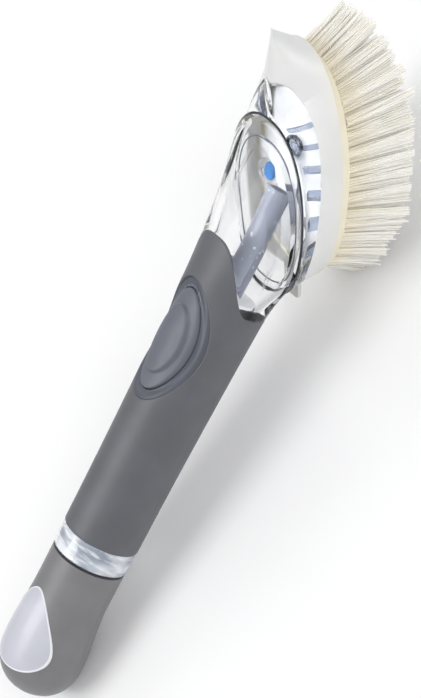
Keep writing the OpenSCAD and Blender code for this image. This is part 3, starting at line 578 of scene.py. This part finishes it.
def end_cap():
    """Cap: outside from its round end to the rim, a rounded rim, then the hollow back inside."""
    t = turn(128)[None, :]
    dome_angle = np.radians(np.linspace(5, 90, 30))
    x = np.concatenate([CAP_DOME * (1 - np.cos(dome_angle)),
                        np.linspace(CAP_DOME + 1, X_CAP_RIM - 0.35, 36)])
    r, z = cap_r(x), cap_z(x)
    inside = [(X_CAP_RIM - 0.15, CAP_RIM_R - 0.05), (X_CAP_RIM, CAP_RIM_R - 0.3),
              (X_CAP_RIM, LINER_OUT + 0.25), (X_CAP_RIM - 0.2, LINER_OUT + SEAT),
              (X_SHOULDER, LINER_OUT + SEAT), (X_SHOULDER, NECK_BORE + 1),
              (X_SHOULDER - CAP_HOLLOW, NECK_BORE), (X_SHOULDER - CAP_HOLLOW, 0)]
    x = np.concatenate([x[:1], x, [p[0] for p in inside]])[:, None]
    r = np.concatenate([[0], r, [p[1] for p in inside]])[:, None]
    z = np.concatenate([z[:1], z, np.zeros(len(inside))])[:, None]
    return skin("end_cap_skin", wand(x, r * np.sin(t), z + r * np.cos(t)), CAP, "cap",
                ["end_cap"])


def on_cap(t, share, out):
    """Points over the cap's top inside the drop outline: the drop (c + L/2 s cos t, w s sin t
    (1 - 0.4 cos t)), out mm above the cap's skin along its radius."""
    x = INLAY_BACK + INLAY_LEN / 2 + INLAY_LEN / 2 * share * np.cos(t)
    y = INLAY_HALF_W * share * np.sin(t) * (1 - 0.4 * np.cos(t))
    r = cap_r(x)
    a = np.arcsin(np.clip(y / r, -0.999, 0.999))
    return wand(x, (r + out) * np.sin(a), cap_z(x) + (r + out) * np.cos(a))


def cap_inlay():
    """Drop shaped inlay, a hair above the cap's skin."""
    t = turn(160)[None, :]
    inside = np.linspace(0.95, 0, 26)
    share = np.concatenate([[0, 0.4, 0.8, 1.0, 1.0, 0.985, 0.965], inside])[:, None]
    out = np.concatenate([[-1, -1, -1, -1, 0.05, 0.16, 0.2], 0.2 + 0.06 * (1 - inside ** 2)])[:, None]
    return skin("cap_inlay_skin", on_cap(t, share, out), INLAY, "cap", ["cap_inlay"],
                sharp=60)


def inlay_rim():
    """Rim of the inlay, pale as a painted highlight on its bevel: a narrow raised band between 96 and
    99.8 % of the drop.
    """
    t = turn(160)[None, :]
    share = np.array([0.998, 0.998, 0.992, 0.98, 0.968, 0.96, 0.96])[:, None]
    out = np.array([-0.5, 0.12, 0.27, 0.32, 0.3, 0.22, -0.5])[:, None]
    return skin("cap_inlay_rim_highlight", on_cap(t, share, out), INLAY_RIM_HIGHLIGHT, "cap",
                close_rows=True)


def band():
    """The band with painted refraction streaks, a thin sleeve 0.06 mm proud of the reservoir's collar.
    """
    t = turn(144)[None, :]
    x = np.array([X_BAND + 0.03, X_BAND + 0.05, X_BAND + 0.4,
                  X_GRIP - 0.5, X_GRIP - 0.06, X_GRIP - 0.04])[:, None]
    r = BAND_R + np.array([-0.6, -0.25, 0.06, 0.06, -0.2, -0.6])[:, None]
    return skin("band_sleeve", wand(x, r * np.sin(t), r * np.cos(t)), BAND_PAINTED_REFRACTION, "handle",
                close_rows=True)


def band_ring():
    """Rubber ring between cap and band: an oval of half sizes 0.36 and 0.42 mm carried round the handle,
    0.08 mm below the band's surface."""
    t, k = turn(128)[None, :], turn(14)[:, None]
    x = X_BAND - BAND_RING_R + 0.36 * np.cos(k)
    r = BAND_R - 0.5 + BAND_RING_R * np.sin(k)
    return skin("band_ring_skin", wand(x, r * np.sin(t), r * np.cos(t)), DARK_RUBBER, "handle",
                ["band_ring"], close_rows=True)


# The nose.
def nose_shell():
    """Clear nose: outside as outer_form, dipping 1.7 mm under the soft grip's edge, a rounded rim, and
    an inside that eases from the bore to the rim."""
    t = turn(144)[None, :]
    s = np.linspace(0, 1, 60)[:, None]
    ex = nose_rim(t)[0]
    x = X_NOSE + SEAT + (ex - X_NOSE - SEAT) * s
    under = NOSE_DIP * ease((sleeve_edge(t) - 0.1 - x) / 1.4)
    outside = wand(*outer_form(x, t, -under))
    ix, iy, iz = nose_rim(t, NOSE_WALL)
    s_in = np.linspace(1, 0, 60)[:, None]
    top = np.clip(np.cos(t), 0, 1) ** 2
    f = s_in ** NOSE_POWER * (1 - top) + ease((s_in - 0.25) / 0.65) * top
    x_in = X_NOSE + SEAT + (ix - X_NOSE - SEAT) * s_in
    inside = wand(x_in, BORE_R * np.sin(t) * (1 - f) + iy * f, BORE_R * np.cos(t) * (1 - f) + iz * f)
    return skin("nose_shell_skin", np.concatenate([outside, inside]), CLEAR, "handle",
                ["nose_shell"], close_rows=True, sharp=60)


def front_wall():
    """Pale wall that closes the pump's space towards the nose: a disc across the bore, 1 mm thick."""
    t = turn(96)[None, :]
    x = X_NOSE + 5.2 + WALL_T * np.array([0, 0, 1, 1])[:, None]
    r = np.array([0, BORE_R - 0.05, BORE_R - 0.05, 0])[:, None]
    return skin("front_wall", wand(x, r * np.sin(t), r * np.cos(t)), TUB_WHITE, "handle")


def deck_line():
    """Grey line inside the clear deck: a ring of 0.26 mm carried round an oval of half sizes 27.2 and
    18.8 mm, 0.6 mm above the rim."""
    t, k = turn(144)[None, :], turn(8)[:, None]
    u, w = oval(t, LINE_A + LINE_R * np.cos(k), LINE_B + LINE_R * np.cos(k), 2.3, LINE_U)
    return skin("deck_line", on_plate(u, w, RIM_H + GAP + LINE_UP + LINE_R * np.sin(k)), LINE_GREY,
                "handle", close_rows=True)


def nose_seal():
    """Dark seal on the rim: a rounded strip 0.56 mm high carried round the rim's oval."""
    t = turn(144)[None, :]
    profile = [(0.1, 0.0), (0.15, 0.25), (0.15, 0.75), (0.05, 1.0), (-0.25, 1.05), (-0.6, 1.0),
               (-0.75, 0.75), (-0.75, 0.25), (-0.6, 0.0), (-0.25, 0.0)]
    rings = []
    for grow, up in profile:
        u, w = oval(t[0], RIM_A + grow, RIM_B + grow, RIM_E, RIM_U)
        rings.append(on_plate(u, w, RIM_H + GAP + 0.5 + SEAL_H * up))
    return skin("nose_seal_skin", np.array(rings), DARK_RUBBER, "handle", ["nose_seal"],
                close_rows=True)


def outlet_valve():
    """Blue valve: a flat dome, a superellipsoid of half sizes 3.4, 2.1 and 2.6 mm cut level on top."""
    t = turn(64)[None, :]
    k = np.linspace(0, math.pi / 2, 14)[:, None]
    u, w = oval(t, VALVE_A, VALVE_B, 2.4)
    middle, level = VALVE_U - 0.6, VALVE_H + 0.55
    rings = on_plate(middle + u * np.sin(k), w * np.sin(k), level - VALVE_DROP * np.cos(k) ** 0.8)
    top = on_plate(np.full((1, 64), middle), 0.0, level)
    return skin("outlet_valve_skin", np.concatenate([rings, top]), BLUE_RUBBER, "handle",
                ["outlet_valve"])


# The head: hood, tub, ribs, plate, tab and strands.
def head_outline(t, grow_a=0.0, grow_b=0.0):
    """The head's oval at the plate."""
    return oval(t, HOOD_A + grow_a, HOOD_B + grow_b, HOOD_E, HOOD_U, TOE_E)


def head_side(t):
    """Share of the way up the head's side where the white hood ends and the clear body shows, by the
    turn from the toe: nothing but hood up to 23 degrees, then an arch, a slow wave, and a fall at the
    heel."""
    arch = [(23, 1.0), (23.5, 0.865), (24, 0.8), (25, 0.717), (26, 0.657), (27, 0.612), (29, 0.544),
            (31, 0.506), (33.5, 0.469), (36, 0.446), (39, 0.433), (45, 0.448), (51, 0.476),
            (61.5, 0.508), (75.5, 0.528), (88.5, 0.553), (100.5, 0.592), (112, 0.633), (122, 0.662),
            (131, 0.69), (140, 0.65), (150, 0.5), (160, 0.32), (170, 0.21), (180, 0.18)]
    return np.interp(np.abs(np.degrees(t)), *zip(*arch))


def head_form(t, v):
    """Outside of the head in plate coordinates. Each line of turn t runs as a curve of three points
    (1 - v)^2 O + 2 v (1 - v) M + v^2 U, from the oval O at the plate up to U, which goes back along
    the crest from the scraper tip to the nose's rim over the first 38 degrees and then round the rim."""
    t, v = np.broadcast_arrays(np.asarray(t, float), v)
    a = np.abs(t)
    ou, ow = head_outline(t)
    q = np.clip(a / CREST_TURN, 0, 1)
    rim_t = np.clip((a - CREST_TURN) / (math.pi - CREST_TURN), 0, 1) * math.pi * np.sign(t)
    ru, rw = oval(rim_t, RIM_A, RIM_B, RIM_E, RIM_U)
    crest_u = TIP_U + (RIM_U + RIM_A - TIP_U) * q
    crest_h = TIP_H + (RIM_H - TIP_H) * ease((TIP_U - 21 - crest_u) / 12)
    on_crest = a < CREST_TURN
    top = [np.where(on_crest, on, off) for on, off in ((crest_u, ru), (0, rw), (crest_h, RIM_H))]
    roof = 1 - ease((a - 0.55 * CREST_TURN) / (1.1 * CREST_TURN))
    fullness = (1.2 - 0.45 * ease(q)) * roof + 0.94 * (1 - roof)
    middle = [0.45 * ou + 0.55 * top[0] + 2.7 * (1 - q), ow * fullness, 10 + (top[2] - 10) * roof]
    bottom = [ou, ow, np.full(t.shape, PLATE_T + SEAT)]
    return [(1 - v) ** 2 * b + 2 * v * (1 - v) * m + v ** 2 * u for b, m, u in zip(bottom, middle, top)]


def head_turns():
    """Turns of the head's columns, as a row: even steps, but for the arch, where a = 39 - 16 sin p has
    even steps of p so that its round top is well drawn. One column stands at the crest's end."""
    p = np.radians(np.linspace(90, 0, 21))
    arch = ARCH_LOW - (ARCH_LOW - ARCH_TURN) * np.sin(p)
    a = np.concatenate([np.linspace(0, ARCH_TURN - 1.5, 10), arch, [38.0], np.linspace(40.5, 180, 84)])
    a.sort()
    return np.radians(np.concatenate([-a[:0:-1], a[:-1]]))[None, :]


def head_wall(t, v, depth):
    """Plate coordinates depth mm inside the head's form, towards a core that follows the top edge:
    (0.65 U_u, 0.5 U_w, 5)."""
    form = head_form(t, v)
    top = head_form(t, np.ones_like(v))
    core = [0.65 * top[0], 0.5 * top[1], np.full(form[0].shape, 5.0)]
    reach = np.sqrt(sum((c - f) ** 2 for c, f in zip(core, form)))
    return [f + (c - f) * depth / reach for c, f in zip(core, form)]


def head_hood():
    """White hood: the head's outside up to the arch, a rounded edge, and back inside 0.95 mm deeper,
    down to the plate. Where it covers the crest, its two sides are joined there. The attribute height
    goes from 0 at the plate to 1 at 17 mm."""
    t = head_turns()
    arch = head_side(t)
    closed = (arch > 0.9999)[0]
    v = np.linspace(0, 1, 30)[:, None]
    rows, depths = [v * arch], [np.zeros((v.size, t.size))]
    for share, depth in ((1.004, 0.12), (1.006, 0.4), (1.004, 0.8)):
        rows.append(np.minimum(1, arch * np.where(closed, 1, share)))
        depths.append(depth * np.where(closed, 0, np.ones_like(t)))
    outside = v.size + 3
    rows.append(v[::-3] * arch)
    depths.append(np.full((v.size // 3, t.size), HOOD_WALL))
    rows, depths = np.concatenate(rows), np.concatenate(depths)
    u, w, h = head_wall(t, rows, depths)
    keep = np.ones(rows.shape, bool)
    keep[outside - 1, closed & np.roll(closed, -1)] = False
    obj = skin("head_hood_skin", on_plate(u, w, np.maximum(h, PLATE_T + SEAT)), HOOD, "head",
               ["head_hood"], close_rows=True, keep=keep, sharp=50)
    place = np.empty(len(obj.data.vertices) * 3)
    obj.data.vertices.foreach_get("co", place)
    up = (place.reshape(-1, 3) - on_plate(0, 0, 0)) @ (on_plate(0, 0, 1) - on_plate(0, 0, 0)) * 1e6
    height = obj.data.attributes.new("height", "FLOAT", "POINT")
    height.data.foreach_set("value", (up / 17).astype("f"))


def head_body():
    """Clear tub of the head: outside flush with the head's form above the arch and 1.2 mm inside it
    below, a flat rim, an inside 2 mm in, 3 mm below the arch, and a floor over the plate."""
    t = head_turns()
    arch = head_side(t)
    turn_deg = np.abs(np.degrees(t))
    crest = (np.abs(t) < CREST_TURN + 0.001)[0]
    low = np.array([0, 0.3, 0.6, 0.8, 0.88, 0.94, 1])[:, None]
    high = np.linspace(0, 1, 17)[1:, None]
    v = np.concatenate([low * arch, arch + (1 - arch) * high])
    hidden = np.maximum(ease((arch - v) / 0.06), ease((ARCH_TURN - turn_deg) / 4))
    v_in = np.linspace(0.92, 0.1, 12)[:, None] * np.ones_like(t)
    hidden_in = np.maximum(ease((arch - v_in) / 0.1), ease((ARCH_TURN - turn_deg) / 4))
    ou, ow, oh = head_wall(t, v, TUB_TUCK * hidden)
    iu, iw, ih = head_wall(t, v_in, TUB_WALL + hidden_in)
    rim_t = np.clip((np.abs(t) - CREST_TURN) / (math.pi - CREST_TURN), 0, 1) * math.pi
    ru, rw = oval(rim_t * np.sign(t), RIM_A - TUB_WALL, RIM_B - TUB_WALL, RIM_E, RIM_U)
    cu, _, ch = head_wall(t, np.ones_like(t), np.full_like(t, TUB_WALL) + hidden[-1:])
    rim = on_plate(np.where(crest, cu, ru), np.where(crest, 0, rw), np.where(crest, ch, RIM_H))
    under, floor_top = PLATE_T + SEAT, PLATE_T + TUB_WALL
    points = np.concatenate([
        on_plate(np.zeros_like(t), 0.0, under), on_plate(ou, ow, np.maximum(oh, under)), rim,
        on_plate(iu, iw, np.maximum(ih, floor_top)), on_plate(np.full_like(t, -4.0), 0.0, floor_top)])
    keep = np.ones((len(points) - 1, t.size), bool)
    keep[v.shape[0], crest & np.roll(crest, -1)] = False
    return skin("head_body_skin", points, CLEAR, "head", ["head_body"], keep=keep,
                sharp=45)


def lock_ribs():
    """Ribs inside the clear tub, nine on the side that shows and one on the other, from 1.9 to 4.5 mm
    inside the head's form, each 0.06 radians wide; their dark blue-grey tint is painted shade."""
    v = np.linspace(0.2, 0.97, 7)[:, None]
    ribs = []
    for at in np.radians(RIB_TURNS):
        outer = [head_wall(np.full((1, 1), at + side), v, np.full_like(v, RIB_OUT))
                 for side in (-RIB_HALF_TURN, RIB_HALF_TURN)]
        inner = [head_wall(np.full((1, 1), at + side), v, np.full_like(v, RIB_IN))
                 for side in (RIB_HALF_TURN, -RIB_HALF_TURN)]
        ribs.append(np.concatenate([on_plate(*p) for p in outer + inner], 1))
    ribs = np.array(ribs)
    n, rows = ribs.shape[:2]
    base = (np.arange(n) * rows * 4)[:, None, None]
    sides = grid_faces(rows, 4, False)[None] + base
    ends = np.array([[0, 1, 2, 3], [(rows - 1) * 4 + k for k in (3, 2, 1, 0)]])[None] + base
    mesh = fill_mesh("lock_ribs", ribs, [sides.reshape(-1, 4), ends.reshape(-1, 4)])
    return finish_piece(mesh, "lock_ribs", RIB_SHADE_CLEAR, "head", [], 30)


def bristle_plate():
    """Cream plate: its underside, an edge rounded by a quarter turn, and its side; its toe end stands
    3 mm in, as 3 cos^3 t."""
    t = turn(160)
    rings = [on_plate(np.full(t.size, HOOD_U), 0.0, 0.0)]
    toe_in = 3 * np.clip(np.cos(t), 0, 1) ** 3
    for k in np.linspace(0, math.pi / 2, 7):
        back = 1 - math.sin(k)
        u, w = head_outline(t, -PLATE_INSET - back, -PLATE_INSET / 2 - back)
        rings.append(on_plate(u - toe_in, w, 1.2 * (1 - math.cos(k))))
    u, w = head_outline(t, -PLATE_INSET, -PLATE_INSET / 2)
    u = u - toe_in
    rings += [on_plate(u, w, PLATE_T - 0.02), on_plate(np.full(t.size, HOOD_U), 0.0, PLATE_T - 0.02)]
    return skin("bristle_plate_skin", np.array(rings), PLATE, "head", ["bristle_plate"])


def tub_floor():
    """White sheet between the plate and the clear tub, so that the tub looks pale inside."""
    t = turn(96)
    rings = []
    for grow, h in ((0, PLATE_T - 0.01), (1, PLATE_T - 0.01), (1, PLATE_T + 0.04), (0, PLATE_T + 0.04)):
        u, w = head_outline(t, -HOOD_A + grow * (HOOD_A - 3.2), -HOOD_B + grow * (HOOD_B - 3.2))
        rings.append(on_plate(u, w, h))
    return skin("tub_floor", np.array(rings), TUB_WHITE, "head", close_rows=True)


def release_tab():
    """Flat tab: a rounded slab 1.6 mm thick from its root in the slot out past the heel, where it is
    0.5 mm lower."""
    t = turn(64)
    u0, u1 = HOOD_U - HOOD_A + TAB_ROOT, HOOD_U - HOOD_A - TAB_REACH
    profile = [(-9, 0), (-0.5, 0), (-0.15, 0.12), (0, 0.45), (0, 1.15), (-0.15, 1.48), (-0.5, TAB_T),
               (-9, TAB_T)]
    rings = []
    for grow, up in profile:
        u, w = oval(t, (u0 - u1) / 2 + max(grow, -6), max(TAB_HALF_W + grow, 0.4), 7, (u0 + u1) / 2)
        rings.append(on_plate(u, w, TAB_H + up - TAB_FALL * (u0 - u) / (u0 - u1)))
    return skin("release_tab_skin", np.array(rings), TAB, "release_tab", ["release_tab"],
                close_rows=True)


def lean(u, w):
    """Way down of a strand for each mm of depth: it leans out along and across by its place."""
    s = u / FIELD_A
    along = np.radians(LEAN_MID + LEAN_ENDS * s + LEAN_TOE * np.clip(s, 0, None) ** 4)
    return np.tan(along), np.tan(np.radians(LEAN_SIDES * w / FIELD_B)), along


def tuft_places(pitch):
    """Staggered tuft centres inside the plate's oval, with room for the nozzle and a narrower toe."""
    u = np.arange(-FIELD_A, FIELD_A + 0.01, pitch * 0.87)
    rows = []
    for i, at in enumerate(u):
        half = FIELD_B * (1 - min(1, abs(at) / (FIELD_A + 1)) ** HOOD_E) ** (1 / HOOD_E)
        n = max(1, int(2 * half / pitch))
        w = (np.arange(n + 1) - n / 2) * pitch + (pitch / 2 if i % 2 else 0)
        rows.append(np.stack([np.full(w.size, at), w], -1)[np.abs(w) <= half + 0.01])
    places = np.concatenate(rows)
    by_nozzle = np.hypot(places[:, 0] - OUTLET_U, places[:, 1]) < OUTLET_R + 1.2
    past_side = np.abs(places[:, 1]) > 10 + 1.2 * np.clip(36 - places[:, 0], -9, 99)
    past_toe = (places[:, 0] > 38.5) | past_side
    return places[~(by_nozzle | past_toe)]


def strands():
    """All strands as arrays: root place, way down, length and shade. A tuft's strands start within
    1.45 mm of its centre, share its small lean error and draw together a little at their tips. The
    field is trimmed towards both ends, and more on both sides of the heel."""
    tufts = tuft_places(TUFT_PITCH)
    centre = np.repeat(tufts, TUFT_STRANDS, 0)
    n = len(centre)
    spin, reach = RNG.uniform(0, 2 * math.pi, n), TUFT_R * np.sqrt(RNG.uniform(0, 1, n))
    off = np.stack([reach * np.cos(spin), reach * np.sin(spin)], -1)
    root = centre + off
    slope_u, slope_w, along = lean(root[:, 0], root[:, 1])
    tuft_error = np.repeat(RNG.normal(0, 0.03, (len(tufts), 2)), TUFT_STRANDS, 0)
    own_error = RNG.normal(0, 0.028, (n, 2))
    draw = -off * 0.012
    slope = np.stack([slope_u, slope_w], -1) + tuft_error + own_error + draw
    s = root[:, 0] / FIELD_A
    heel_trim = 0.15 * np.exp(-((s + 0.72) / 0.2) ** 2) * ease(np.abs(root[:, 1]) / 13)
    end_trim = 1 - 0.09 * np.abs(s) ** 3 - heel_trim
    tuft_len = np.repeat(RNG.uniform(0.985, 1.01, len(tufts)), TUFT_STRANDS)
    depth = BRISTLE_LEN * np.cos(along) * end_trim * tuft_len * RNG.uniform(0.97, 1.0, n)
    return root, slope, depth, RNG.uniform(0, 1, n)


def strand_field(name, node, root, slope, depth, shade):
    """One group of strands as a mesh: five sided, four stretches each, with a slightly bowed line
    root + slope d (0.9 + 0.1 d / depth) and tips kept on the table."""
    share = np.linspace(0, 1, 5)
    sides = 5
    tip = from_plate(root[:, 0] + slope[:, 0] * depth, root[:, 1] + slope[:, 1] * depth, -depth)
    low, high = wand(*tip)[:, 2], on_plate(root[:, 0], root[:, 1], 0.0)[:, 2]
    depth = depth * np.clip((high - 0.0001) / np.maximum(high - low, 1e-6), 0, 1)
    slope[:, 1] = np.clip(slope[:, 1], (-SIDE_REACH - root[:, 1]) / depth,
                          (SIDE_REACH - root[:, 1]) / depth)
    d = depth[:, None] * share
    bow = 0.9 + 0.1 * share
    u = root[:, :1] + slope[:, :1] * d * bow
    w = root[:, 1:] + slope[:, 1:] * d * bow
    a = turn(sides)
    r = STRAND_R * np.array([1.0, 1.0, 1.0, 0.97, 0.8])[:, None]
    points = on_plate(u[..., None] + r * np.cos(a), w[..., None] + r * np.sin(a),
                      -d[..., None] * np.ones(sides))
    points[..., 2] = np.maximum(points[..., 2], 0.00002)
    n, rings = len(root), share.size
    base = (np.arange(n) * rings * sides)[:, None, None]
    i, j = np.meshgrid(np.arange(rings - 1), np.arange(sides), indexing="ij")
    j2 = (j + 1) % sides
    quads = np.stack([i * sides + j, i * sides + j2, (i + 1) * sides + j2, (i + 1) * sides + j], -1)
    quads = (quads.reshape(1, -1, 4) + base).reshape(-1, 4)
    caps = (base + (rings - 1) * sides + np.arange(sides)).reshape(-1, sides)
    roots = (base + np.arange(sides)[::-1]).reshape(-1, sides)
    mesh = bpy.data.meshes.new(name)
    mesh.from_pydata(points.reshape(-1, 3).tolist(), [], quads.tolist() + caps.tolist() + roots.tolist())
    values = {"along": np.broadcast_to(share[None, :, None], (n, rings, sides)).ravel(),
              "shade": np.repeat(shade, rings * sides)}
    for key, value in values.items():
        mesh.attributes.new(key, "FLOAT", "POINT").data.foreach_set("value", value.astype("f"))
    return finish_piece(mesh, name, NYLON, "head", [node], 60)


def bristle_fields():
    """The five groups, cut where the CAD groups meet."""
    root, slope, depth, shade = strands()
    names = ["bristles_heel", "bristles_back", "bristles_middle", "bristles_front", "bristles_toe"]
    cuts = [-99] + [(k - GROUP_ROWS) * GROUP_PITCH for k in GROUP_CUTS] + [99]
    for node, low, high in zip(names, cuts, cuts[1:]):
        mine = (root[:, 0] >= low) & (root[:, 0] < high)
        strand_field(node.replace("bristles", "strands"), node, root[mine], slope[mine], depth[mine],
                     shade[mine])


# The pieces.
grip_sleeve()
button_bezel()
push_button()
end_cap()
cap_inlay()
inlay_rim()
band()
band_ring()
nose_shell()
front_wall()
deck_line()
nose_seal()
outlet_valve()
head_body()
lock_ribs()
tub_floor()
head_hood()
bristle_plate()
release_tab()
bristle_fields()

dressed("reservoir", BAND_CLEAR, "handle")
dressed("bulkhead", PALE_RUBBER, "handle")
dressed("inlet_valve", PALE_RUBBER, "handle")
dressed("pump_cup", LINER, "handle")
bellows = dressed("pump_bellows", PALE_RUBBER, "handle")
wand(X_BUTTON, 0, BELLOWS_FOOT)
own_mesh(bellows)
dressed("soap_duct", DUCT, "handle")
dressed("nose_deck", CLEAR_INNER, "handle")
dressed("valve_chamber", CHAMBER_CLEAR, "handle")
dressed("valve_seat", SEAT_CLEAR, "handle")
dressed("cap_washer", DARK_RUBBER, "washer")
dressed("cap_liner", LINER, "cap")
# The nozzle takes the ribs' dark tint, a painted shade.
dressed("soap_nozzle", RIB_SHADE_CLEAR, "head")


# The studio.
def floor():
    """Pale floor under the wand, 6 m across, 0.2 mm below the table's height."""
    points = [[x, y, -0.0002] for y in (-3.0, 3.0) for x in (-3.0, 3.0)]
    mesh = bpy.data.meshes.new("studio_floor")
    mesh.from_pydata(points, [], [[0, 1, 3, 2]])
    mesh.materials.append(floor_paint())
    obj = bpy.data.objects.new("studio_floor", mesh)
    bpy.context.scene.collection.objects.link(obj)


def camera_axes():
    """The photograph's camera, fitted to the wand's outline: the way to the camera has the angles phi
    and psi in the wand's frame, and the picture is rolled about it."""
    phi, psi, roll = CAMERA_PHI, CAMERA_PSI, CAMERA_ROLL
    c = np.array([math.sin(psi), -math.cos(psi) * math.sin(phi), math.cos(psi) * math.cos(phi)])
    a = np.array([1.0, 0, 0]) - c[0] * c
    a /= np.linalg.norm(a)
    r = np.cross(a, c)
    return math.sin(roll) * a + math.cos(roll) * r, math.cos(roll) * a - math.sin(roll) * r, c


def camera():
    """700 mm from the middle of the handle; the lens gives the photograph's scale on its 698 rows."""
    right, up, back = camera_axes()
    place = np.array([CAMERA_AT, 0, 0]) + CAMERA_FAR * back + CAMERA_UP * up + CAMERA_RIGHT * right
    axes = np.stack([right, up, back]) @ AXES
    data = bpy.data.cameras.new("camera")
    data.sensor_width = 36
    data.lens = FOCAL_PX / PHOTO_ROWS * data.sensor_width
    data.clip_start, data.clip_end = 0.02, 20
    obj = bpy.data.objects.new("camera", data)
    matrix = np.eye(4)
    matrix[:3, :3] = axes.T
    matrix[:3, 3] = wand(*place)
    obj.matrix_world = Matrix(matrix.tolist())
    bpy.context.scene.collection.objects.link(obj)
    bpy.context.scene.camera = obj


def soft_light(name, place, size, power, colour=(1, 1, 1)):
    """A square soft light that faces the wand's middle."""
    data = bpy.data.lights.new(name, "AREA")
    data.shape, data.size, data.energy, data.color = "SQUARE", size, power, colour
    obj = bpy.data.objects.new(name, data)
    way = -np.array(place, float) / np.linalg.norm(place)
    side = np.cross(way, [0, 0, 1])
    side /= np.linalg.norm(side)
    matrix = np.eye(4)
    matrix[:3, :3] = np.stack([side, np.cross(side, way), -way]).T
    matrix[:3, 3] = place
    obj.matrix_world = Matrix(matrix.tolist())
    bpy.context.scene.collection.objects.link(obj)


def sky():
    """Soft white surround, darker towards the horizon so that clear walls show their edges."""
    world = bpy.data.worlds.new("studio")
    bpy.context.scene.world = world
    world.use_nodes = True
    tree = world.node_tree
    ground = tree.nodes["Background"]
    where = tree.nodes.new("ShaderNodeTexCoord")
    parts = tree.nodes.new("ShaderNodeSeparateXYZ")
    ramp = tree.nodes.new("ShaderNodeValToRGB")
    low, high = ramp.color_ramp.elements
    low.position, low.color = 0.02, (0.40, 0.43, 0.50, 1)
    high.position, high.color = 0.5, (1, 1, 1, 1)
    tree.links.new(where.outputs["Generated"], parts.inputs[0])
    tree.links.new(parts.outputs["Z"], ramp.inputs[0])
    tree.links.new(ramp.outputs[0], ground.inputs["Color"])
    ground.inputs["Strength"].default_value = 0.62


floor()
camera()
soft_light("key_light", (-0.6, 0.2, 1.2), 0.7, 7.2)
soft_light("fill_light", (0.6, -1.0, 0.8), 0.8, 6.0)
soft_light("back_light", (0.5, 1.0, 0.8), 0.6, 2.5)
sky()
bpy.context.scene.view_settings.view_transform = "Standard"
